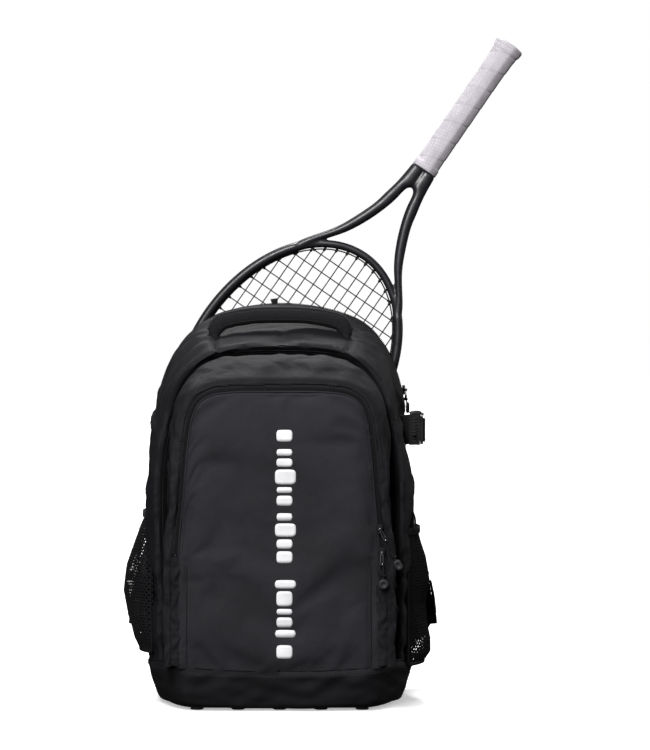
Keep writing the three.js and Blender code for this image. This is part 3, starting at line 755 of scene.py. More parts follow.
def boot():
    """The coated base, with its piping, its stitches and five runners."""
    rings = across_rings([plan_ring(z, inset) for z, inset in BOOT_LEVELS], 34)
    x, y, z = rings[..., 0], rings[..., 1], rings[..., 2]
    share = np.clip(z / SEAM_Z, 0, 1)
    z = z + share ** 2 * (seam_height(x, y) - SEAM_Z)
    lift = np.clip(np.abs(x) / 150, 0, 1) ** 2 * np.clip((-y - 20) / 80, 0, 1) * (1 - share) * 7
    rings[..., 2] = z + lift
    push = ripple(x + y, z * 1.5, 3, 60) * 2.0 * np.clip(z / 12, 0, 1) * np.clip((SEAM_Z - z) / 8, 0, 1)
    grid = rings + grid_normals(rings) * push[..., None]
    closed = np.concatenate([grid, grid[:, :1]], 1)
    points = np.vstack([closed.reshape(-1, 3), [[0, 0, 0.5]]])
    n = closed.shape[1]
    faces = grid_faces(closed.shape[0], n) + [[len(points) - 1, i + 1, i] for i in range(n - 1)]
    uv = np.vstack([grid_uv(closed).reshape(-1, 2), [[0, 0]]])
    ob = mesh("boot_shell", points, faces, "boot_fabric", uv)
    on_bag(thicken(welded(ob, 0.02), 2.2), "bag", "base_boot")
    top = closed[-1] + np.array([0, 0, 0.3])
    on_bag(tube("boot_piping", top[:-1], 3.2, "boot_fabric", sides=8, up=(0, 0, 1), closed=True))
    out = unit(top[:-1] * [1, 1, 0])
    row = closed[-4, :-1]
    on_bag(stitches("boot_stitches", np.vstack([row, row[:1]]), np.vstack([out, out[:1]]), 5))
    # Five low runners under the boot, with rounded ends.
    runners = [
        swept([(x, -82, 1.7), (x, -78, 1.5), (x, 78, 1.5), (x, 82, 1.7)], oval(16, 2.8, 12, 2.6), (0, 0, 1))
        for x in np.linspace(-100, 100, 5)
    ]
    on_bag(joined("boot_skid_ribs", runners, "racket_plastic"))


# ---------------------------------------------------------------- main compartment
HANDLE_SEAMS = {"left": -79, "right": 83}  # x of the seams under the handle's ends
TOP_FOLDS = [
    ((-142, -36), (-74, -30), 8.5), ((-130, -50), (-84, -45), 6.0), ((-146, -10), (-84, -20), 5),
    ((-135, 14), (-80, 4), 4.5), ((86, -30), (128, -10), 4.0), ((84, -44), (120, -34), 3.2),
    ((92, 6), (130, 20), 3.4), ((-70, 12), (60, 18), 3.2), ((-50, -12), (50, -9), 2.6),
    ((-66, 34), (-10, 28), 2.6), ((10, 32), (80, 36), 2.6),
]
FLANK_FOLDS = [
    ((-50, 330), (30, 372), 4), ((-46, 250), (10, 292), 3), ((-30, 120), (50, 96), 3.4),
    ((-44, 180), (20, 150), 2.6), ((0, 392), (52, 352), 3.2), ((10, 300), (54, 262), 2.6),
    ((-40, 84), (30, 70), 2.6),
]


def gusset_grid():
    """The band's surface: from inside its front edge, over the lip and the widest ring, to the divider."""
    edge = arch(FLAP_EDGE, FLAP_EDGE_Y, 0, ARCH_STEPS)
    widest = arch(WIDEST, 0, 0, ARCH_STEPS)
    lip = [(LID_Y + 1, 5.4), (FLAP_EDGE_Y + 1, 4.6), (FLAP_EDGE_Y - 1.6, 1.8), (FLAP_EDGE_Y + 1.5, -0.4)]
    rings = [arch(FLAP_EDGE, y, inset, ARCH_STEPS) for y, inset in lip]
    rings += [mid_ring(edge, widest, 0.5, 4, 4), widest]
    rings += [arch(REAR, y, inset, ARCH_STEPS) for y, inset in ((32, 0.6), (DIVIDER_Y - GAP, 0))]
    return across_rings(rings, 46)


def main_compartment():
    """The band round the sides and top, its lip, the main zip's tapes and the divider."""
    grid = gusset_grid()
    x, y, z = grid[..., 0], grid[..., 1], grid[..., 2]
    # The bag hangs slacker under its right shoulder, and is a little fuller under the left one.
    shoulder = np.exp(-(((z - 345) / 60) ** 2)) * np.clip(1 - np.abs(y + 5) / 60, 0, 1)
    grid[..., 0] = x = x - 9.5 * shoulder * between(x, 60, 60) - 3.5 * shoulder * between(-x, 60, 60)
    body = between(y, -58, 14, 56, 12)
    flank = np.abs(x) > 120
    side = x + np.where(x > 0, 1, -1) * np.clip(464 - z, 0, None)
    push = ripple(side, y * 1.4, 11, 90) * 1.6 * body
    push += np.where(flank, ripple(y, z * 0.8, 12, 60) * 1.3, 0) * body
    push += np.where(z > 380, folds(x, y, 4.6, TOP_FOLDS), 0) * body
    push += np.where(flank & (z < 420), folds(y, z, 6, FLANK_FOLDS), 0) * body
    for seam in HANDLE_SEAMS.values():
        push -= np.where((z > 400) & (y < 20), 1.5 * np.exp(-(((x - seam) / 2.2) ** 2)), 0)
    ob = panel("gusset_shell", grid[:, ::-1], "shade_darkened_fabric", push[:, ::-1], swell=0.025, cap=2.6, thick=2.4)
    on_bag(ob, "bag", "main_gusset")
    lip = arch(FLAP_EDGE, FLAP_EDGE_Y - 0.6, 1.2, ARCH_STEPS)
    on_bag(tube("gusset_piping", lip, 3.2, "shell_fabric", sides=10))
    row = arch(FLAP_EDGE, FLAP_EDGE_Y + 5, -1.6, ARCH_STEPS)
    out = outward(row, arch(FLAP_EDGE, FLAP_EDGE_Y + 5, 3, ARCH_STEPS))
    on_bag(stitches("gusset_edge_stitches", row[2:-2], out[2:-2]))
    for name, seam in HANDLE_SEAMS.items():
        column = int(np.abs(grid[20, :, 0] - seam).argmin())
        row = [(seam + 2.2, y, z + 0.5) for _, y, z in grid[6:26, column]]
        on_bag(stitches(f"handle_seam_{name}", row, (0, -0.4, 0.9)))
    main_zip_tape("gusset", "bag", LID_Y - 0.6, 6.2, 1.8)
    main_zip_tape("lid", "front_lid", LID_Y + 1.4, OVERHANG - 0.8, -1.8)

    divider = coons(arch(REAR, DIVIDER_Y + 1, 1.5, 160), 34, 30)
    push = ripple(divider[..., 0], divider[..., 2], 21, 110) * 1.4
    ob = panel("divider_cloth", divider[:, ::-1], "lining_fabric", push, cap=2, thick=1.4)
    on_bag(ob, "bag", "divider_panel")


def main_zip_tape(name, body, y, inset, inwards):
    """One of the main zip's two tapes, with its row of teeth."""
    line = above(arch(FLAP_EDGE, y, inset, ARCH_STEPS), FOLD_Z + 1)
    strip = tube(f"main_zip_tape_{name}_cloth", line, 1.0, "webbing", tall=9, sides=8, power=4)
    on_bag(strip, body, f"main_zip_tape_{name}")
    inner = above(arch(FLAP_EDGE, y - 1.4, inset + inwards, ARCH_STEPS), FOLD_Z + 4)
    on_bag(teeth(f"main_zip_teeth_{name}", inner, (0, -1, 0), 2.2, 3.2, 1.6), body)


# ---------------------------------------------------------------- racket compartment
MOUTH_STEPS = 200


def racket_compartment():
    """The two walls of the racket compartment, its open mouth and the tab above it."""
    profile = [(DIVIDER_Y + 2, 0.5), (68, -0.8), (78, -0.4), (88, -0.8), (BACK_Y - 0.8, 0.5)]
    grid = across_rings([arch(REAR, y, inset, MOUTH_STEPS) for y, inset in profile], 20)
    for side, sign, top in (("left", -1, MOUTH_LEFT_Z), ("right", 1, MOUTH_RIGHT_Z)):
        wall = grid[:, (grid[10, :, 0] * sign > 0) & (grid[10, :, 2] <= top)]
        y, z = wall[..., 1], wall[..., 2]
        push = ripple(y, z, 31 + sign, 70) * 1.2 * between(y, 60, 8, 96, 8)
        push -= 0.9 * np.exp(-(((y - 78) / 3) ** 2))
        name = f"racket_wall_{side}"
        ob = panel(f"{name}_cloth", wall[:, ::-1], "shade_darkened_fabric", push[:, ::-1], cap=1.6, thick=2.2)
        on_bag(ob, "bag", name)
        line = above(wall[10] + [sign * 0.6, 0, 0], 70)
        on_bag(teeth(f"racket_zip_teeth_{side}", line, (sign, 0, 0), 2.2, 5, 1.8))
    mouth_edge("front", [(60.4, 1.0), (62.4, -0.6), (64.8, -1.6), (66.2, -4.2), (66.0, -7.4)], 1, 0)
    mouth_edge("rear", [(96.6, 1.0), (94.4, -0.6), (92.2, -1.6), (90.9, -4.2), (91.0, -7.4)], -1, 2)
    # The tab at the top middle.
    tab = smooth_line([(-9, 60.5, 489), (-9, 60.2, 494), (-9.4, 60, 498), (-10, 59.4, 502.5)], 10)
    widening = np.linspace([0.8, 1], [1.25, 1], 11)
    on_bag(tube("top_tab", tab, 7.5, "webbing", tall=1.8, sides=12, power=4, scale=widening))


def mouth_edge(name, profile, facing, phase):
    """One half of the open zip above the walls, which stands on its own with a curled, wavy edge."""
    rows = across_rings([arch(REAR, y, inset, MOUTH_STEPS) for y, inset in profile], 12)
    rows = rows[:, rows[0, :, 2] > np.where(rows[6, :, 0] < 0, MOUTH_LEFT_Z, MOUTH_RIGHT_Z)]
    # It droops to the wall's height at both ends.
    run = np.arange(rows.shape[1])
    stands = np.clip(np.minimum(run, run[::-1]) / 14, 0, 1)[None, :, None]
    rows = rows[:1] + (rows - rows[:1]) * (0.35 + 0.65 * stands)
    push = np.sin(run[None, :] / 7.0 + phase) * 0.7 * np.linspace(0, 1, 13)[:, None]
    node = f"racket_mouth_{name}"
    ob = panel(f"{node}_cloth", rows[:, ::-facing], "shade_darkened_fabric", push[:, ::-facing], cap=1.0, thick=1.2)
    on_bag(ob, "bag", node)
    on_bag(teeth(f"{node}_teeth", rows[-1], (0, facing, 0.4), 2.2, 2.6, 1.6))


# ---------------------------------------------------------------- back panel, pads and straps
PAD_STEPS = 160


def rounded_block(x0, x1, z0, z1, y0, thick, corner):
    """A closed pad with a flat back at y0 and a rounded front at y0 + thick."""
    cx, cz, w, h = (x0 + x1) / 2, (z0 + z1) / 2, (x1 - x0) / 2, (z1 - z0) / 2
    power = max(2.5, min(w, h) / corner * 2.2)
    outline = oval(2, 2, PAD_STEPS, power) * [w, h]
    rings = []
    for share, y in (
        (0.0, 0), (0.93, 0), (1.0, 0.25), (1.0, 0.55), (0.95, 0.86), (0.86, 1), (0.5, 1), (0.0, 1),
    ):
        inset = (1 - share) * min(w, h)
        scale = np.array([(w - inset) / w, (h - inset) / h])
        ring = outline * scale
        rings.append(np.stack([cx + ring[:, 0], np.full(PAD_STEPS, y0 + thick * y), cz + ring[:, 1]], 1))
    return np.vstack(rings), [f[::-1] for f in grid_faces(len(rings), PAD_STEPS, True)]


PAD_BACK_Y = BACK_Y + 6.4


def pad_seams(levels):
    """Holds a pad's flat back, and its seams across at those heights."""
    def held(co):
        seam = co[:, 1] < PAD_BACK_Y + 1.6
        for z in levels:
            seam |= np.abs(co[:, 2] - z) < 3.2
        return seam
    return held


def back():
    """The back panel, its binding, its pads and the strap yoke."""
    grid = coons(arch(BACK, BACK_Y + 3, 1, 160), 36, 32)
    push = ripple(grid[..., 0], grid[..., 2], 41, 80) * 0.8
    on_bag(panel("back_panel_cloth", grid, "padded_mesh", push, cap=1.4, thick=5.2), "bag", "back_panel")
    edge = arch(BACK, BACK_Y + 5.2, 0.6, 160)
    on_bag(tube("back_binding", edge, 4.6, "webbing", sides=8, up=(0, 1, 0)))
    bottom = np.linspace(edge[0], edge[-1], 40) + [0, 0, 1.5]
    on_bag(tube("back_binding_low", bottom, 4.4, "webbing", sides=8, up=(0, 1, 0)))
    for name, x0, x1, z0, z1, levels in (
        ("back_pad_left", -126, -14, 174, 414, (234, 294, 354)),
        ("back_pad_right", 14, 126, 174, 414, (234, 294, 354)),
        ("lumbar_pad", -126, 126, 70, 162, (116,)),
    ):
        co, faces = rounded_block(x0, x1, z0, z1, PAD_BACK_Y, 6.6, 22)
        for z in levels:
            co[:, 1] -= np.where(co[:, 1] > PAD_BACK_Y + 3, 2.6 * np.exp(-(((co[:, 2] - z) / 5) ** 2)), 0)
        ob = cushion(f"{name}_foam", co, faces, "padded_mesh", pad_seams(levels), 5, 2.2, 4.0)
        on_bag(ob, "bag", name)
        for k, z in enumerate(levels):
            row = [(x, PAD_BACK_Y + 4.4, z) for x in np.linspace(x0 + 12, x1 - 12, 20)]
            on_bag(stitches(f"{name}_stitches_{k}", row, (0, 1, 0)))
    points, faces = rounded_block(-94, 94, 422, 468, PAD_BACK_Y, 6.4, 18)
    ob = cushion("strap_yoke_foam", points, faces, "shade_darkened_fabric", pad_seams(()), 4, 1.8, 4.0)
    on_bag(ob, "bag", "strap_yoke")
    for k, z in enumerate((428, 462)):
        row = [(x, PAD_BACK_Y + 6.9, z) for x in np.linspace(-84, 84, 24)]
        on_bag(stitches(f"strap_yoke_stitches_{k}", row, (0, 1, 0)))


STRAP_TOP, STRAP_LOW = np.array([58, 116, 446.0]), np.array([166, 112, 66.0])
STRAP_PAD = [
    (0, 5, 0, 28, 8), (0.07, 16, 0, 46, 11), (0.18, 29, 1, 60, 12), (0.32, 37, 4, 62, 12),
    (0.46, 37, 9, 58, 12), (0.6, 31, 17, 52, 12), (0.72, 22, 25, 44, 11), (0.81, 14, 31, 32, 8),
]


def strap_line(sections, side, count):
    """Centres, widths and thicknesses along a strap, from sections (share, back, out, wide, thick)."""
    rows = []
    for share, back_by, out, wide, thick in sections:
        p = STRAP_TOP * (1 - share) + STRAP_LOW * share
        rows.append((side * (p[0] + out), p[1] + back_by, p[2], wide, thick))
    line = smooth_line(rows, count)
    return line[:, :3], line[:, 3], line[:, 4]


def strap_frames(centre, side):
    """Unit tangents, directions across and outward directions along a strap."""
    across = np.array([side * 0.96, 0, 0.26])
    tangent = unit(np.gradient(centre, axis=0))
    wide = unit(across - tangent * (tangent @ across)[:, None])
    up = np.cross(wide, tangent) * side
    return tangent, wide, up * np.sign(up[:, 1:2].mean() or 1)


def flat_strap(centre, wide, up, width, thick, sides=16, power=5.0):
    """A band through frames of its own: points and faces."""
    section = oval(1, 1, sides, power)
    points = (
        centre[:, None] + wide[:, None] * section[None, :, :1] * np.asarray(width, float).reshape(-1, 1, 1)
        + up[:, None] * section[None, :, 1:] * np.asarray(thick, float).reshape(-1, 1, 1)
    )
    n, m = len(centre), sides
    ends = [list(range(m))[::-1], list(range((n - 1) * m, n * m))]
    return points.reshape(-1, 3), grid_faces(n, m, True) + ends


def web(name, centre, wide, up, width, thick):
    """A band of webbing with thin edges."""
    points, faces = flat_strap(centre, wide, up, width, thick, 12, 6)
    return mesh(name, points, faces, "webbing", points[:, [0, 2]])


# Sections (share of the strap's length, back, out, wide, thick) of the buckle, its webbing and the free tail.
LOCK = [(0.822, 13.2, 31.8, 32, 6), (0.85, 11, 31, 32, 6), (0.875, 8.5, 30, 32, 6), (0.928, 6.5, 26.5, 30, 6)]
STRAP_LOOP = [
    (0.80, 14.5, 31.2, 25, 2), (0.835, 13.6, 31.6, 25, 2), (0.862, 8.6, 30.4, 25, 2), (0.9, 9.4, 28.6, 25, 2),
    (0.935, 4.8, 24.8, 25, 2), (0.97, 4, 13, 25, 2), (0.992, 3, 3, 25, 2),
]
STRAP_TAIL = [
    (0.868, 12.4, 30.6, 25, 2), (0.89, 13.8, 31, 25, 2), (0.93, 13.2, 30, 25, 2), (0.965, 10.6, 27.5, 25, 2),
]


STRAP_STEPS, LOCK_STEPS = 60, 18


def shoulder_strap(name, side):
    """The padded strap with its bindings and webbing, the buckle below it, and the webbing to its foot."""
    body = f"shoulder_strap_{name}"
    centre, width, thick = strap_line(STRAP_PAD, side, STRAP_STEPS)
    _, wide, up = strap_frames(centre, side)
    points, faces = flat_strap(centre, wide, up, width - 1.5, thick - 2, 20, 4)

    def held(co):
        from_line = np.linalg.norm(co[:, None] - centre[None], axis=2)
        near = from_line.argmin(1)
        across = np.abs(np.einsum("ij,ij->i", co - centre[near], wide[near]))
        return (across > width[near] * 0.41) | (near < 3) | (near > STRAP_STEPS - 3)

    ob = cushion(f"shoulder_pad_{name}_foam", points, faces, "padded_mesh", held, 5, 1.6, 4.0)
    on_bag(ob, body, f"shoulder_pad_{name}")
    face = centre + up * (thick / 2 + 0.6)[:, None]
    band = slice(4, STRAP_STEPS - 2)
    on_bag(web(f"shoulder_pad_{name}_webbing", face[band], wide[band], up[band], 24.0, 1.6), body)
    for k, sign in enumerate((-1, 1)):
        edge = centre + wide * (sign * (width / 2 - 1.6))[:, None]
        ob = tube(f"shoulder_pad_{name}_binding_{k}", edge, 4.2, "webbing", tall=5.4, sides=8, up=(0, 1, 0))
        on_bag(ob, body)
        row = (face + wide * sign * 10.4 + up * 0.9)[band]
        on_bag(stitches(f"shoulder_pad_{name}_stitches_{k}", row, up[band]), body)

    # The ladder lock: two side rails, four bars and a lip, with the webbing woven through it.
    lock, _, _ = strap_line(LOCK, side, LOCK_STEPS)
    tangent, across, out = strap_frames(lock, side)
    parts = []
    for sign in (-1, 1):
        rail = lock + across * sign * 14.2
        parts.append(flat_strap(rail, across, out, 3.6, np.linspace(4.4, 6.2, LOCK_STEPS + 1), 10, 4))
    for k, size, lift in ((0, 3.4, 0.4), (6, 3.2, 0.4), (11, 3.2, 1.4), (LOCK_STEPS, 4.2, 0.4)):
        parts.append(brick(lock[k] + out[k] * lift, (across[k], tangent[k], out[k]), (28, size, 4.2), 0.85))
    lip = lock[-1] + out[-1] * 2.6 + tangent[-1] * 1.5
    parts.append(brick(lip, (across[-1], tangent[-1], out[-1]), (26, 5, 2.4), 0.8))
    ob = joined(f"strap_adjuster_{name}_lock", parts, "hard_plastic")
    on_bag(apply(rounded(ob, 0.5)), body, f"strap_adjuster_{name}")
    loop, _, _ = strap_line(STRAP_LOOP, side, 40)
    ob = web(f"strap_webbing_{name}_band", loop, *strap_frames(loop, side)[1:], 24.5, 1.9)
    on_bag(ob, body, f"strap_webbing_{name}")
    tail, _, _ = strap_line(STRAP_TAIL, side, 14)
    on_bag(web(f"strap_tail_{name}", tail, *strap_frames(tail, side)[1:], 24.0, 1.8), body)

    # The sewn wing that holds the strap's lower end.
    x0, x1 = side * 148.5, side * 164.5
    wing = np.array([
        [[x0, 108, z0], [(x0 + x1) / 2, 110.5, (z0 + z1) / 2], [x1, 112, z1]]
        for z0, z1 in zip(np.linspace(46, 80, 8), np.linspace(50, 78, 8))
    ])
    points, faces = wing.reshape(-1, 3), grid_faces(8, 3)
    ob = mesh(f"strap_foot_{name}_wing", points, faces, "webbing", points[:, [0, 2]])
    on_bag(thicken(ob, 2.6, 0), "bag", f"strap_foot_{name}")


# ---------------------------------------------------------------- front lid and its pocket
LID_TOP_FOLDS = [
    ((-74, -66), (-50, -86), 3.4), ((-46, -66), (-8, -84), 3.0), ((-6, -70), (14, -86), 2.2),
    ((40, -66), (10, -82), 2.6), ((36, -70), (78, -92), 4.4), ((84, -66), (66, -86), 2.8),
    ((-100, -66), (-86, -96), 2.8), ((100, -66), (90, -92), 3.0),
]
LID_LEFT_FOLDS = [
    ((-58, 150), (-100, 182), 4.4), ((-60, 118), (-100, 144), 3.6), ((-58, 98), (-98, 72), 3.2),
    ((-58, 232), (-98, 256), 3.0), ((-60, 306), (-98, 276), 3.0), ((-60, 356), (-96, 330), 2.6),
]


def lid():
    """The front lid's cloth round the pocket, and the pocket's lining."""
    rear = arch(FLAP_EDGE, LID_Y, OVERHANG + 2, ARCH_STEPS)
    rim = arch(POCKET, RIM_Y, -3, ARCH_STEPS)
    channel = [(RIM_Y - 2.4, -6.6), (FRONT_Y + 1.7, -2.8), (FRONT_Y + 1.2, -0.4), (FRONT_Y + 3.4, 1.2)]
    rings = [
        arch(FLAP_EDGE, LID_Y + 0.4, OVERHANG + 4, ARCH_STEPS), rear, mid_ring(rear, rim, 0.4, 1, 10.5),
        mid_ring(rear, rim, 0.72, 1, 12), mid_ring(rear, rim, 0.92, 1.5, 9),
    ]
    rings += [arch(POCKET, y, inset, ARCH_STEPS) for y, inset in channel]
    grid = across_rings(rings, 44)
    x, y, z = grid[..., 0], grid[..., 1], grid[..., 2]
    body = between(-y, 58, 6, 101, 8)
    push = ripple(x * 1.2, y + z, 51, 60) * 1.3 * body
    # The right flank sits back, which leaves the main zip's pull room to swing.
    push -= 3.2 * body * between(x, 100, 12) * between(-z, -330, 30)
    push += np.where(z > 360, folds(x, y, 5.5, LID_TOP_FOLDS) * 0.5, 0) * between(-y, 61, 9)
    push += np.where(x < -100, folds(y, z, 5.5, LID_LEFT_FOLDS), 0) * between(-y, 61, 9)
    ob = panel("lid_cloth", grid, "shade_darkened_fabric", push, swell=0.025, cap=2.6, thick=2.2)
    over_lid_fold(ob, "lid_shell", "lower_side_left", "lower_side_right")
    over_lid_fold(stitches("pocket_rim_stitches", arch(POCKET, FRONT_Y + 1.2, -1.2, RIM_STEPS)[2:-2]))
    seam = arch(POCKET, RIM_Y + 3, -5.2, RIM_STEPS)
    over_lid_fold(tube("pocket_rim_seam", seam, 1.4, "shell_fabric", sides=6))

    lining = coons(arch(POCKET, -80, 3, 160), 30, 26)
    push = ripple(lining[..., 0], lining[..., 2], 53, 90) * 1.2
    ob = panel("pocket_lining_cloth", lining[:, ::-1], "lining_fabric", push, cap=1.6, thick=1.2)
    over_lid_fold(ob, "pocket_lining", "pocket_lining_lower")


PANEL_FOLDS = [
    ((40, 330), (96, 382), 1.0), ((-96, 300), (-20, 372), 0.8), ((20, 140), (100, 230), 0.8),
    ((-100, 90), (-40, 150), 0.8), ((-60, 66), (90, 72), 0.9), ((60, 90), (112, 60), 1.0),
]


def front_panel():
    """The front cloth, one piece from the base seam to the top of the flap; gives the surface it makes."""
    outline = arch(POCKET, FRONT_Y + 0.6, HEM + 1, ARCH_STEPS)
    outline[[0, -1], 2] = SEAM_Z - 3
    grid = coons(outline, 96, 64, 0.33)
    x, z = grid[..., 0], grid[..., 2]
    rows, columns = x.shape
    v, u = np.mgrid[0:1:rows * 1j, 0:1:columns * 1j]
    puff = (between(np.minimum(u, 1 - u), 0, 0.14) * between(1 - v, 0, 0.14) * between(v, 0, 0.1)) ** 0.5
    push = 3.2 * puff + ripple(x, z, 61, 150, 2) * 1.0 * puff + folds(x, z, 12, PANEL_FOLDS)
    push -= np.where(z < POCKET_FOLD_Z, 1.3 * np.exp(-(((np.abs(x) - PANEL_SEAM_X) / 3.2) ** 2)), 0)
    # The base seam sags in the middle.
    grid[..., 2] = z + between(-z, -110, 55) * (seam_height(x, np.full_like(x, -104.0)) - SEAM_Z)
    grid = grid + np.array([0, -1.0, 0]) * push[..., None]
    cloth = mesh("front_cloth", grid, grid_faces(rows, columns), "shell_fabric", grid_uv(grid))
    settle(cloth, edge_held(rows, columns), 0.012, 0.0, cap=1.8, bend=0.8)
    co = places(cloth)
    tree = BVHTree.FromPolygons([tuple(c) for c in co], [tuple(p.vertices) for p in cloth.data.polygons])
    bpy.data.objects.remove(cloth)
    # Rows are nearly level at the split, so whole rows go to each side.
    settled = co.reshape(rows, columns, 3) / MM
    cut = int(np.abs(settled[: rows // 2, :, 2].mean(1) - SPLIT_Z).argmin())
    uv = grid_uv(settled)
    pieces = []
    for name, part in (("pocket_face_cloth", slice(0, cut + 1)), ("pocket_flap_cloth", slice(cut, rows))):
        half = settled[part]
        pieces.append(thicken(mesh(name, half, grid_faces(*half.shape[:2]), "shell_fabric", uv[part]), 2.0))
    over_lid_fold(pieces[0], "pocket_face_lower", "pocket_face_middle")
    over_flap_fold(pieces[1], "pocket_flap")
    return tree


def pocket():
    """The pocket's front, edge, side strips, zip and stripe."""
    tree = front_panel()
    # The rolled edge of the flap, with its stitching.
    edge = above(arch(POCKET, FRONT_Y + 0.3, HEM + 0.6, RIM_STEPS), SPLIT_Z)
    over_flap_fold(tube("pocket_flap_edge", edge, 2.0, "shell_fabric", tall=2.6, sides=8))
    inner = above(arch(POCKET, FRONT_Y - 1.4, HEM + 4.4, RIM_STEPS), SPLIT_Z)
    over_flap_fold(stitches("pocket_flap_stitches", inner))
    pocket_strip(tree, "left", -1)
    pocket_strip(tree, "right", 1)

    # The zip: tape in the channel and two rows of coil.
    tape = above(arch(POCKET, -102.9, 5.2, RIM_STEPS), POCKET_FOLD_Z + 0.6)
    ob = tube("pocket_zip_tape", tape, 9.4, "webbing", tall=1.0, sides=10, power=6)
    on_bag(ob, "front_lid", "pocket_zip_coil")
    coil = above(arch(POCKET, -103.7, 5.4, RIM_STEPS), POCKET_FOLD_Z + 3)
    on_bag(teeth("pocket_zip_teeth", coil, (0, -1, 0), 2.1, 3.4, 1.2), "front_lid")
    for k, inset in enumerate((2.2, 8.0)):
        row = above(arch(POCKET, -103.5, inset, RIM_STEPS), POCKET_FOLD_Z + 4)
        on_bag(stitches(f"pocket_zip_stitches_{k}", row), "front_lid")
    stops = [brick((x, -103.4, 188.4), np.eye(3), (5, 2, 4), 0.8) for x in (124.4, -124.4)]
    on_bag(joined("pocket_zip_stops", stops, "zip_coil"), "front_lid")
    stripe(tree)


def pocket_strip(tree, name, side):
    """The strip between the front panel and the pocket's outer seam, below the zip, and its seam."""
    rows, columns = 52, 11
    z = np.linspace(SEAM_Z - 1, POCKET_FOLD_Z + 1, rows)[:, None]
    a = np.linspace(0, 1, columns)[None, :]
    outer_x = np.interp(z, [56, 186], [131, 130]) - 0.5
    inner_x = outer_x - HEM - 5
    x = side * (inner_x * (1 - a) + outer_x * a)
    strip = np.stack([x, np.full_like(x, FRONT_Y + 0.8), np.broadcast_to(z, x.shape)], -1)
    sag = seam_height(strip[..., 0], strip[..., 1]) - SEAM_Z
    strip[..., 2] += between(-strip[..., 2], -100, 45) * sag
    z = strip[..., 2]
    push = 1.6 * np.sin(math.pi * a) ** 0.7 + 0 * z
    for z0, drop, tall in ((166, -22, 1.6), (138, -30, 1.3), (112, 14, 0.9), (84, -16, 1.2)):
        push = push + crease(a * 24 + 0 * z, z, (0, z0 - drop / 2), (24, z0 + drop / 2), 5.5, tall)
    grid, push = strip[:, ::side], push[:, ::side]
    moved = grid + np.array([0, -1.0, 0]) * push[..., None]
    ob = mesh(f"pocket_strip_{name}", moved, grid_faces(rows, columns), "shade_darkened_fabric", grid_uv(grid))
    settle(ob, edge_held(rows, columns), 0.03, 0, cap=1.2)
    over_lid_fold(thicken(ob, 1.8))

    def down(x, lift):
        """A line down the front panel at that x."""
        return np.array([(x, front_at(tree, x, z) + lift, z) for z in np.linspace(SEAM_Z + 3, SPLIT_Z, 60)])

    over_lid_fold(tube(f"pocket_seam_{name}", down(side * PANEL_SEAM_X, 0.2), 1.6, "shade_darkened_fabric", sides=6))
    over_lid_fold(stitches(f"pocket_seam_stitches_{name}", down(side * 107.6, 0.1)))


STRIPE_LOW, STRIPE_HIGH, STRIPE_X = 66.0, 334, 6.5
STRIPE_WIDE, STRIPE_WIDER = 19, 25


def stripe(tree):
    """The printed stripe: a broken line of rounded white blocks down the front panel."""
    blocks = {"low": [], "high": []}
    z, k = STRIPE_LOW, 0
    lengths = (16, 9, 12, 7, 18, 10, 8, 14, 11)
    while z < STRIPE_HIGH:
        tall = lengths[k % len(lengths)]
        wide = STRIPE_WIDER if k % 4 == 1 else STRIPE_WIDE
        if not z < SPLIT_Z < z + tall:
            x = STRIPE_X + (wide - STRIPE_WIDE) * 0.2
            blocks["low" if z + tall < SPLIT_Z else "high"].append(stripe_block(tree, x, z, wide, tall))
        z += tall + (3.2 if k % 5 else 9)
        k += 1
    over_lid_fold(joined("stripe_low", blocks["low"], "film"))
    over_flap_fold(joined("stripe_high", blocks["high"], "film"))


def front_at(tree, x, z):
    """Where the front cloth's face is, at that x and z."""
    hit = tree.ray_cast(Vector((x * MM, -0.2, z * MM)), Vector((0, 1, 0)))[0]
    return hit.y / MM if hit is not None else FRONT_Y - 3


def stripe_block(tree, x, z, wide, tall):
    """A thin printed block laid on the front panel, with its outline drawn by rounded corners."""
    columns, rows = 9, max(int(tall / 2.5), 3)
    u, v = np.meshgrid(np.linspace(-1, 1, columns), np.linspace(-1, 1, rows))
    power = 5.0
    r = (np.abs(u) ** power + np.abs(v) ** power) ** (1 / power)
    r = np.maximum(np.abs(u), np.abs(v)) / np.maximum(r, 1e-6)
    px, pz = x + u * r * wide / 2, z + tall / 2 + v * r * tall / 2
    top, under = [], []
    for a, b in zip(px.ravel(), pz.ravel()):
        y = front_at(tree, a, b)
        top.append((a, y - 0.42, b))
        under.append((a, y + 0.1, b))
    n = len(top)
    faces = grid_faces(rows, columns) + [[i + n for i in f[::-1]] for f in grid_faces(rows, columns)]
    rim = (
        [(0, i) for i in range(columns)] + [(j, columns - 1) for j in range(1, rows)]
        + [(rows - 1, i) for i in range(columns - 2, -1, -1)] + [(j, 0) for j in range(rows - 2, 0, -1)]
    )
    ids = [j * columns + i for j, i in rim]
    faces += [[b, a, a + n, b + n] for a, b in zip(ids, ids[1:] + ids[:1])]
    return top + under, faces


# ---------------------------------------------------------------- zip pulls
CORD, CORD_SIDES = 1.7, 7
END_ROUND, END_LONG = 2.0, 3.2  # powers of the outline of a pull's rubber end


def pull_frame(on_side, swing):
    """Where a pull's own x, y and z point: x across it, -y outwards, -z down it."""
    ca, sa = math.cos(swing), math.sin(swing)
    x, y, z = np.array([ca, 0, -sa]), np.array([0, 1.0, 0]), np.array([sa, 0, ca])
    if on_side:
        spin = np.array([[0, -1, 0], [1, 0, 0], [0, 0, 1.0]])
        x, y, z = spin @ x, spin @ y, spin @ z
    return x, y, z


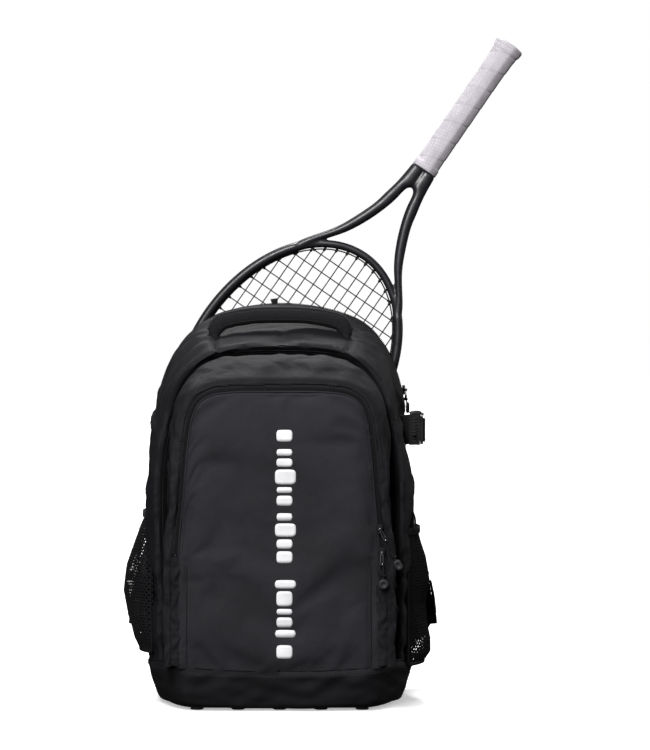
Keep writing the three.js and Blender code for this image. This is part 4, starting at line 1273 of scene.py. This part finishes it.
def zip_pull(prefix, place, on_side, swing, bar, cord, wide, long, across, power):
    """A metal bar, a loop of thin cord through its eye, and a rubber end below the knot."""
    body = f"{prefix}_pull"
    x, y, z = pull_frame(on_side, swing)
    out = -y
    pivot = np.array(place, float) + out * 5

    def at(a, b, c):
        return pivot + x * a + y * b + z * c

    eye = [
        (-0.4, 0.3), (0.4, 0.3), (0.5, -2.4), (1, -3.6), (1, 1.2 - bar), (0.6, -bar), (-0.6, -bar),
        (-1, 1.2 - bar), (-1, -3.6), (-0.5, -2.4), (-0.4, 0.3),
    ]
    wire = even([at(a * 1.35, 0, b) for a, b in eye], 44)
    ob = joined(f"{prefix}_pull_wire", [swept(wire, oval(1.1, 1.0, 8), out)], "zip_metal")
    on_bag(ob, body, f"{prefix}_pull_bar")

    top, low = -bar - 0.4, -bar - 0.4 - cord
    knot = low + 5.5
    parts = []
    for first, second, apart in (((-1.3, 0.9), (-1.9, 0.5), -1.3), ((1.6, -0.9), (2.1, -0.5), 1.3)):
        strand = [
            at(0.4, 0, -bar + 2.9), at(*first, -bar + 0.6), at(*second, top - cord * 0.3),
            at(across * 0.5 + apart, 0, knot + 3), at(across * 0.8, 0, knot),
        ]
        parts.append(swept(smooth_line(strand, 22), oval(CORD, CORD, CORD_SIDES), out))
    tail = [at(across * 0.8, 0, knot), at(across, -1.6, low + 1), at(across, -2.4, low - long * 0.3)]
    parts.append(swept(smooth_line(tail, 10), oval(2.4, 2.0, CORD_SIDES), out))
    ring = [
        at(across * 0.8 + 1.9 * math.cos(a), 1.9 * math.sin(a), knot + 0.8 * math.sin(a * 2))
        for a in np.linspace(0, TAU, 17)[:-1]
    ]
    parts.append(swept(ring + ring[:1], oval(2.0, 2.0, CORD_SIDES), z))
    on_bag(joined(f"{prefix}_cord_loop", parts, "webbing"), body, f"{prefix}_pull_cord")

    centre = at(across, -2.4, low - long / 2 + 1.5)
    rings = []
    for depth, share in (
        (-2.3, 0.0), (-2.3, 0.72), (-1.7, 0.93), (-0.6, 1.0), (0.6, 1.0), (1.7, 0.93), (2.3, 0.72),
        (2.3, 0.45), (1.5, 0.38), (1.5, 0.0),
    ):
        flat = oval(wide, long, 28, power) * share
        rings.append(centre + x * flat[:, :1] - y * depth + z * flat[:, 1:])
    points = np.vstack(rings)
    faces = [f[::-1] for f in grid_faces(len(rings), 28, True)]
    on_bag(mesh(f"{prefix}_grip_end", points, faces, "puller_rubber", points[:, [0, 2]]), body)


def zips():
    """The pulls, and the sliders as the CAD has them. A swing is the angle at which a pull hangs at rest."""
    zip_pull("pocket_upper", (120.6, -104.2, 221), False, -0.47, 15, 28, 9, 13, 0, END_LONG)
    zip_pull("pocket_lower", (123, -104.2, 193), False, 0, 15, 18, 12.5, 12.5, 2, END_ROUND)
    zip_pull("main_zip", (140.6, -58.6, 152), False, 0, 10, 18, 7, 12, 0, END_LONG)
    zip_pull("racket_zip", (153.9, 79, 386), True, 0, 9, 8, 8, 14, 0, END_LONG)
    for prefix in ("pocket_upper", "pocket_lower", "main_zip", "racket_zip"):
        finish_node(f"{prefix}_slider", "hard_plastic", 0.25)


def finish_node(name, look, edge):
    """A hard CAD piece shown as it is, with its material and softened edges."""
    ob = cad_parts[name]
    ob.data.materials.clear()
    ob.data.materials.append(MATERIAL[look])
    rounded(ob, edge, 2, 30)


# ---------------------------------------------------------------- side pockets
SIDE = smooth_line([(-62, 149), (-30, 161), (0, 165.2), (30, 163.4), (60, 159)], 120)


def side_x(y):
    """How far the bag's side is from its middle, at that y."""
    return np.interp(y, SIDE[:, 0], SIDE[:, 1])


def pocket_surface(levels, side):
    """A bottle pocket's surface, as a function of u (front to back, 0 to 1), z and the distance outwards."""
    zs, bulges = [a for a, _ in levels], [b for _, b in levels]

    def at(u, z, out=0.0):
        u = np.clip(u, 0, 1)
        y = u_to_y(u)
        swell = np.sin(math.pi * u) ** 0.6
        wave = 1.2 * np.sin(y / 11 + z / 19) * swell * np.clip((zs[-1] + 12 - z) / 30, 0, 1)
        x = side_x(y) + 1.6 + (np.interp(z, zs, bulges) - 0.8) * swell + wave + out
        return np.stack([side * x, y, z + 0 * y], -1)

    return at


def u_to_y(u):
    """The bottle pockets run from y = -50 to y = 50."""
    return -50 + 100 * u


MESH_LONG = 128.0  # the mesh cloth's length round a bottle pocket
MESH_PITCH, MESH_HOLE, MESH_THICK = 4.2, 0.64, 0.8


def lattice(name, at, z0, z1, look):
    """A cloth with hexagonal holes over the surface at(u, z)."""
    points, faces, index = [], [], {}
    rise = MESH_PITCH * 0.866
    radius = MESH_PITCH / math.sqrt(3)

    def corner(a, b, shared):
        """The number of a point at length a and height b; a shared one is made only once."""
        key = (round(a, 3), round(b, 3))
        if shared and key in index:
            return index[key]
        points.append((min(max(a / MESH_LONG, 0), 1), min(max(b, z0), z1)))
        if shared:
            index[key] = len(points) - 1
        return len(points) - 1

    for r in range(int((z1 - z0) / rise) + 1):
        for c in range(int(MESH_LONG / MESH_PITCH) + 1):
            ca, cb = (c + 0.5 * (r % 2)) * MESH_PITCH, z0 + r * rise
            outer, inner = [], []
            for k in range(6):
                angle = TAU * (k + 0.5) / 6
                across, up = radius * math.cos(angle), radius * math.sin(angle)
                outer.append(corner(ca + across, cb + up, True))
                inner.append(corner(ca + across * MESH_HOLE, cb + up * MESH_HOLE, False))
            faces += [[outer[k], outer[(k + 1) % 6], inner[(k + 1) % 6], inner[k]] for k in range(6)]
    p = np.array(points)
    ob = mesh(name, at(p[:, 0], p[:, 1]), faces, look, p * [MESH_LONG, 1])
    return thicken(welded(ob, 0.05), MESH_THICK, 0)


def bottle_pocket(name, side, levels):
    """A mesh pocket with an elastic top edge, bindings and a floor."""
    at = pocket_surface(levels, side)
    z0, z1 = levels[0][0], levels[-1][0]
    ob = lattice(f"bottle_pocket_{name}_mesh", at, z0, z1 + 1, "mesh_fabric")
    on_bag(ob, "bag", f"bottle_pocket_{name}")
    # The elastic top edge, gathered in small pleats.
    u = np.linspace(0, 1, 90)
    ring = at(u, np.full(90, z1 + 5.0), 0.4)
    gather = 0.5 * np.sin(np.arange(90) * 1.9)
    ring[:, 0] += side * gather * np.sin(math.pi * u) ** 0.5
    elastic = f"pocket_elastic_{name}"
    ob = tube(f"{elastic}_band", ring, 2.6, "webbing", tall=9.4, sides=14, up=(0, 0, 1), power=3.5)
    on_bag(ob, "bag", elastic)
    # The hem along the bottom and both sides.
    low = at(u, np.full(90, z0 + 0.5), 0.2)
    pocket_name = f"bottle_pocket_{name}"
    on_bag(tube(f"{pocket_name}_hem", low, 2.2, "shade_darkened_fabric", tall=5, sides=10, up=(0, 0, 1), power=3))
    for k, end in enumerate((0.004, 0.996)):
        line = at(np.full(40, end), np.linspace(z0, z1 + 8, 40), 0.4)
        on_bag(tube(f"{pocket_name}_binding_{k}", line, 5, "shade_darkened_fabric", tall=2.4, sides=8, up=(side, 0, 0)))
    # The pocket's floor.
    u, t = np.meshgrid(np.linspace(0, 1, 40), np.linspace(0, 1, 8))
    rim = at(u, np.full(u.shape, z0 + 0.4))
    inner = np.stack([side * (side_x(u_to_y(u)) + 0.9), u_to_y(u), np.full(u.shape, z0 + 0.4)], -1)
    floor = rim * (1 - t[..., None]) + inner * t[..., None]
    ob = mesh(f"bottle_pocket_{name}_floor", floor, grid_faces(8, 40), "shade_darkened_fabric", grid_uv(floor))
    on_bag(thicken(ob, 0.8))


def side_pockets():
    """The two bottle pockets, and the tab sewn above the right one."""
    # How far each pocket stands out from the bag, from its floor to its elastic edge.
    bottle_pocket("left", -1, [
        (66, 9), (80, 17), (105, 25), (137, 29), (170, 25), (200, 16), (215, 11), (228, 4.5),
    ])
    bottle_pocket("right", 1, [
        (50, 11), (62, 20), (78, 21), (100, 17), (122, 14), (150, 18), (180, 14), (208, 6),
    ])
    tab = [(163.5, -34, 236), (165.8, -35, 229), (166.4, -35.4, 221), (166.0, -35, 213)]
    ob = tube("side_tab", smooth_line(tab, 12), 14, "webbing", tall=1.8, sides=12, up=(1, 0, 0), power=5)
    on_bag(ob)


# ---------------------------------------------------------------- grab handle
HANDLE_HALF, HANDLE_Y, HANDLE_FOOT, HANDLE_TOP = 82, -30, 462, 478.5


def handle():
    """The padded grab handle with its piping and stitches, and its two anchors."""
    h, y, foot, top = HANDLE_HALF, HANDLE_Y, HANDLE_FOOT, HANDLE_TOP
    half = [
        (h, y, foot - 11), (h * 0.985, y, foot - 3), (h * 0.9, y, foot + 6.5), (h * 0.72, y, top - 5),
        (h * 0.4, y, top - 1),
    ]
    line = smooth_line([(-a, b, c) for a, b, c in half] + [(0, y, top)] + half[::-1], 80)
    share = np.linspace(-1, 1, 81)
    plump = np.clip((1 - np.abs(share)) / 0.16, 0, 1) ** 0.6
    scale = np.stack([0.62 + 0.38 * plump, 0.7 + 0.3 * plump], 1)
    points, faces = swept(line, oval(20, 12.6, 18, 2.6), scale=scale)

    def held(co):
        return np.abs(co[:, 0]) > h * 0.93

    ob = cushion("grab_handle_pad", points, faces, "webbing", held, 4, 1.2, 3.2)
    on_bag(ob, "grab_handle", "grab_handle")
    _, side, up = frames_along(line, (0, -1, 0))
    lift = np.where(side[:, 2:3].mean() > 0, 1, -1)
    crest = line + side * lift * 9.4 * scale[:, :1] + up * 1.8
    on_bag(tube("grab_handle_piping", crest[3:-3], 3.2, "shell_fabric", sides=8), "grab_handle")
    under = line - side * lift * 5.2 * scale[:, :1] + up * 6.4 * scale[:, 1:]
    on_bag(stitches("grab_handle_stitches", under[8:-8]), "grab_handle")
    # Folded webbing tabs that come up through the top panel and hold the handle's ends.
    for name, sign in (("left", -1), ("right", 1)):
        tab = np.array([(sign * (h - 1.0), y, 444 + 13 * r) for r in np.linspace(0, 1, 10)])
        ob = tube(f"handle_anchor_{name}_tab", tab, 11, "shade_darkened_fabric", tall=10, sides=16, power=3)
        on_bag(ob, "bag", f"handle_anchor_{name}")


# ---------------------------------------------------------------- stick strap on the right side
STICK_Z, CATCH_Z = 336.5, 355.4  # the middle of the strap, and the top of its buckle


def stick_strap():
    """The buckle on the right side, and the strap that closes into it."""
    for name in ("stick_buckle_female", "stick_buckle_male"):
        finish_node(name, "hard_plastic", 0.7)
    parts = [
        brick((166.5, -10.9, z), ((1, 0, 0), (0, 0, 1), (0, -1, 0)), (9, 1.4, 1.0), 0.6)
        for z in np.linspace(322.5, 350.5, 8)
    ]
    curve = [(161, -6, 0), (165, -6, 1.2), (170, -6, 1.5), (174.5, -6, 0.2)] + np.array([0, 0, CATCH_Z])
    parts.append(swept(smooth_line(curve, 12), oval(2.2, 8, 10, 3), (0, 0, 1)))
    parts.append(brick((176.4, -6, CATCH_Z + 0.8), np.eye(3), (3.4, 5, 3.4), 0.7))
    on_bag(joined("stick_buckle_ridges", parts, "hard_plastic"))
    path = [(178.6, -7.4), (179.2, 3), (176, 19), (166, 36), (156.8, 47)]
    line = smooth_line([(x, y, STICK_Z) for x, y in path], 40)
    ob = tube("stick_strap_band", line, 30, "webbing", tall=2.0, sides=16, up=(1, 0.2, 0), power=6)
    on_bag(ob, "stick_strap", "stick_strap_webbing")
    for k, z in enumerate((324.5, 348.5)):
        row = line * [1, 1, 0] + [1.2, -0.4, z]
        on_bag(stitches(f"stick_strap_stitches_{k}", row[2:-2], (1, -0.3, 0)), "stick_strap")
    patch = [(151.5, 38, STICK_Z), (155.6, 46, STICK_Z), (155.4, 56, STICK_Z)]
    on_bag(tube("stick_strap_patch", patch, 36, "webbing", tall=1.6, sides=12, up=(1, 0, 0), power=6))
    holder = [(139, -3, STICK_Z), (151, -4.6, STICK_Z), (160, -6, STICK_Z + 1), (163, -6, STICK_Z + 1)]
    on_bag(tube("stick_buckle_tab", holder, 37, "webbing", tall=5, sides=12, power=6))


# ---------------------------------------------------------------- racket
RACKET_TIP, RACKET_Y, RACKET_TILT = (-96, 265), 78.5, math.radians(34.6)
HEAD_LONG, HEAD_WIDE, BAND, DEPTH = 181.0, 130.0, 12.5, 23.0
GRIP_START, RACKET_LENGTH = 490, 685


def stand(points):
    """From the racket's own plane (across, along from its tip, depth) to where it stands."""
    p = np.asarray(points, float)
    c, s = math.cos(RACKET_TILT), math.sin(RACKET_TILT)
    return np.stack([RACKET_TIP[0] + p[..., 0] * c + p[..., 1] * s, RACKET_Y - p[..., 2],
                     RACKET_TIP[1] - p[..., 0] * s + p[..., 1] * c], -1)


def head_point(inset, angle):
    """A point of the racket's head in its own plane; the angle starts at the tip."""
    return np.stack([(HEAD_WIDE - inset) * np.sin(angle), HEAD_LONG - (HEAD_LONG - inset) * np.cos(angle),
                     0 * np.asarray(angle, float)], -1)


FRAME_SIDES = 20
ARM_OUTER = [
    (89, 306), (78.5, 327.6), (51.5, 366), (38.5, 393), (28, 421), (24.4, 438), (21.4, 452), (20, 460),
    (19, 468), (17, 489.4),
]
ARM_INNER = [
    (75, 311), (63, 333), (36.6, 369), (22.6, 396), (12.4, 424), (8.4, 440), (6.6, 452), (4.6, 459),
    (-1, 465), (-1, 489.4),
]


def racket_frame():
    """The hoop with its thinner bridge, and the two arms of the throat, joined into one smooth shell."""
    section = oval(1, 1, FRAME_SIDES, 2.8)
    steps = 180
    theta = np.linspace(0, TAU, steps + 1)
    # 0 at the bridge, past the throat, and 1 round the rest of the hoop.
    full = np.clip((np.abs(theta - math.pi) - 0.60) / 0.10, 0, 1)
    ring = []
    for t, b in zip(theta[:-1], full):
        inner, outer = head_point(BAND - (1 - b), t), head_point(1.5 * (1 - b), t)
        half, middle = (outer - inner) / 2, (outer + inner) / 2
        deep = (DEPTH - 6 * (1 - b)) / 2
        ring.append(middle + section[:, :1] * 2 * half + np.array([0, 0, 1.0]) * section[:, 1:] * 2 * deep)
    last = (steps - 1) * FRAME_SIDES
    faces = grid_faces(steps, FRAME_SIDES, True)
    for i in range(FRAME_SIDES):
        j = (i + 1) % FRAME_SIDES
        faces.append([last + i, last + j, j, i])
    parts = [(stand(np.array(ring).reshape(-1, 3)), faces)]
    both = smooth_line(np.hstack([ARM_OUTER, ARM_INNER]), 60)
    for side in (-1, 1):
        arm = []
        for o, i in zip(both[:, :2], both[:, 2:]):
            flat = (o + i) / 2 + section[:, :1] * (o - i)
            arm.append(np.stack([side * flat[:, 0], flat[:, 1], section[:, 1] * (DEPTH - 2)], 1))
        faces = grid_faces(61, FRAME_SIDES, True)
        faces += [list(range(FRAME_SIDES))[::-1], list(range(60 * FRAME_SIDES, 61 * FRAME_SIDES))]
        parts.append((stand(np.array(arm).reshape(-1, 3)), faces if side > 0 else [f[::-1] for f in faces]))
    ob = joined("racket_frame_shell", parts, "racket_lacquer")
    m = ob.modifiers.new("join", "REMESH")
    m.mode = "VOXEL"
    m.voxel_size = 1.2 * MM
    m = ob.modifiers.new("soften", "SMOOTH")
    m.factor = 0.5
    m.iterations = 16
    on_bag(apply(ob), "racket", "racket_frame")


MAIN_PITCH, CROSS_PITCH, FIRST_CROSS = 13.5, 18.6, 28
WEAVE = 0.62  # how far a string rises and dips at each crossing


def racket_strings():
    """The string bed, and the grommet strip round the inside of the hoop with a nub for each string's end."""
    mains = [MAIN_PITCH * (k + 0.5) for k in range(-8, 8)]
    crosses = [FIRST_CROSS + CROSS_PITCH * k for k in range(17)]
    wide_in, long_in = HEAD_WIDE - 7, HEAD_LONG - 7
    wide_hole, long_hole = HEAD_WIDE - BAND, HEAD_LONG - BAND
    strings, ends = [], []
    for n, x in enumerate(mains):
        reach = long_in * math.sqrt(1 - (x / wide_in) ** 2)
        ys = np.arange(HEAD_LONG - reach, HEAD_LONG + reach, CROSS_PITCH / 5)
        over = WEAVE * np.cos(math.pi * ((ys - crosses[0]) / CROSS_PITCH + n))
        strings.append(np.stack([np.full_like(ys, x), ys, over], 1))
        e = long_hole * math.sqrt(1 - (x / wide_hole) ** 2)
        ends += [((x, HEAD_LONG + s * e), (0, -s)) for s in (-1, 1)]
    for n, y in enumerate(crosses):
        reach = wide_in * math.sqrt(max(1 - ((y - HEAD_LONG) / long_in) ** 2, 0))
        xs = np.arange(-reach, reach, MAIN_PITCH / 5)
        over = -WEAVE * np.cos(math.pi * ((xs - mains[0]) / MAIN_PITCH + n))
        strings.append(np.stack([xs, np.full_like(xs, y), over], 1))
        e = wide_hole * math.sqrt(max(1 - ((y - HEAD_LONG) / long_hole) ** 2, 0))
        ends += [((s * e, y), (-s, 0)) for s in (-1, 1)]

    theta = np.linspace(0, TAU, 181)
    strip = stand(head_point(BAND + 0.9, theta))
    inward = unit(stand(head_point(BAND + 3, theta)) - strip)
    box = oval(7.0, 1.7, 10, 4)
    band = strip[:, None] + np.array([0, 1.0, 0]) * box[None, :, :1] + inward[:, None] * box[None, :, 1:]
    parts = [(band.reshape(-1, 3), grid_faces(181, 10, True))]
    narrowing = np.array([[1.1], [1.0], [0.7]])
    for (x, y), (dx, dy) in ends:
        line = stand([(x + dx * far, y + dy * far, 0) for far in (-1, 2, 4.2)])
        parts.append(swept(line, oval(3.6, 3.6, 8), scale=narrowing))
    on_bag(joined("racket_grommets", parts, "racket_plastic"), "racket", "racket_grommet_strip")
    cords = [swept(stand(line), oval(1.5, 1.5, 6)) for line in strings]
    on_bag(joined("racket_string_bed", cords, "racket_string"), "racket", "racket_strings")


GRIP_SIDES = 48
GRIP_ANGLE = np.arange(GRIP_SIDES) * TAU / GRIP_SIDES
EIGHT = np.cos(math.pi / 8) / np.cos((GRIP_ANGLE + math.pi / 8) % (math.pi / 4) - math.pi / 8)
GRIP_RADIUS, GRIP_FLAT = 15.9, 0.9  # the grip is a little thinner than wide
TAPE_PITCH = 27.0


def round_axis(radius, along):
    """Rings round the racket's axis, slightly flattened, and their map, from a radius at each angle."""
    along = np.broadcast_to(along, radius.shape)
    body = np.stack([radius * np.cos(GRIP_ANGLE), along, radius * GRIP_FLAT * np.sin(GRIP_ANGLE)], 2)
    return stand(body).reshape(-1, 3), np.stack([np.broadcast_to(GRIP_ANGLE * 16, radius.shape), along], 2)


def racket_handle():
    """The eight-sided grip wrapped in an overlapping spiral of tape, with its collar and butt cap."""
    steps = 190
    along = np.linspace(GRIP_START, RACKET_LENGTH - 13.8, steps)[:, None]
    lap = (along / TAPE_PITCH + GRIP_ANGLE[None, :] / TAU) % 1
    wrap = 0.7 * np.clip(lap / 0.12, 0, 1) * (1 - 0.5 * lap) - 0.3 * np.exp(-((lap / 0.035) ** 2))
    radius = GRIP_RADIUS * (0.35 * 1.03 + 0.65 * EIGHT[None, :]) + wrap
    radius += np.interp(along, [490, 496, 640, 665, 671.2], [0.9, 0.0, 0.1, 1.0, 1.8])
    points, uv = round_axis(radius, along)
    faces = [f[::-1] for f in grid_faces(steps, GRIP_SIDES, True)]
    faces += [list(range(GRIP_SIDES)), list(range((steps - 1) * GRIP_SIDES, steps * GRIP_SIDES))[::-1]]
    on_bag(mesh("racket_grip_tape", points, faces, "grip_wrap", uv), "racket", "racket_grip")
    for name, node, profile in (
        ("racket_collar_band", "racket_collar", [
            (489.6, 0), (489.6, 17.2), (490.6, 17.9), (497.6, 17.6), (499.4, 17.0), (499.6, 0),
        ]),
        ("racket_butt", "racket_butt_cap", [
            (670.6, 0), (670.6, 17.4), (674, 18.4), (678.2, 20.0), (678.8, 19.5), (679.4, 20.1),
            (682.6, 20.3), (684.2, 19.4), (684.9, 17.4), (684.9, 8), (684.2, 7), (684.2, 0),
        ]),
    ):
        along, radius = np.array(profile).T[:, :, None]
        points, uv = round_axis(radius * (0.45 + 0.55 * EIGHT), along)
        faces = [f[::-1] for f in grid_faces(len(profile), GRIP_SIDES, True)]
        on_bag(mesh(name, points, faces, "grip_wrap", uv), "racket", node)


# ---------------------------------------------------------------- build
boot()
main_compartment()
racket_compartment()
back()
shoulder_strap("left", -1)
shoulder_strap("right", 1)
lid()
pocket()
zips()
side_pockets()
handle()
stick_strap()
racket_frame()
racket_strings()
racket_handle()
finish_node("base_board", "lining_fabric", 0.6)

bpy.ops.mesh.primitive_plane_add(size=80, location=(0, 0, 0))
floor = bpy.context.object
floor.name = "floor"
paper, _, paper_shader = material("paper", (0.88, 0.88, 0.88), 0.9, 0, 0.1)
paper_shader.inputs["Emission Color"].default_value = (1, 1, 1, 1)
paper_shader.inputs["Emission Strength"].default_value = 0.42
floor.data.materials.append(paper)

# A white surround that only the camera sees; neither it nor the floor throws light back onto the bag.
bpy.ops.mesh.primitive_uv_sphere_add(radius=45, segments=48, ring_count=24, location=(0, 0, 0))
surround = bpy.context.object
surround.name = "surround"
white = bpy.data.materials.new("white")
white.use_nodes = True
white_shader = white.node_tree.nodes["Principled BSDF"]
white_shader.inputs["Base Color"].default_value = (0, 0, 0, 1)
white_shader.inputs["Specular IOR Level"].default_value = 0
white_shader.inputs["Emission Color"].default_value = (1, 1, 1, 1)
white_shader.inputs["Emission Strength"].default_value = 1.0
surround.data.materials.append(white)
for ray in ("diffuse", "glossy", "transmission", "volume_scatter", "shadow"):
    setattr(surround, f"visible_{ray}", False)
floor.visible_diffuse = floor.visible_glossy = False
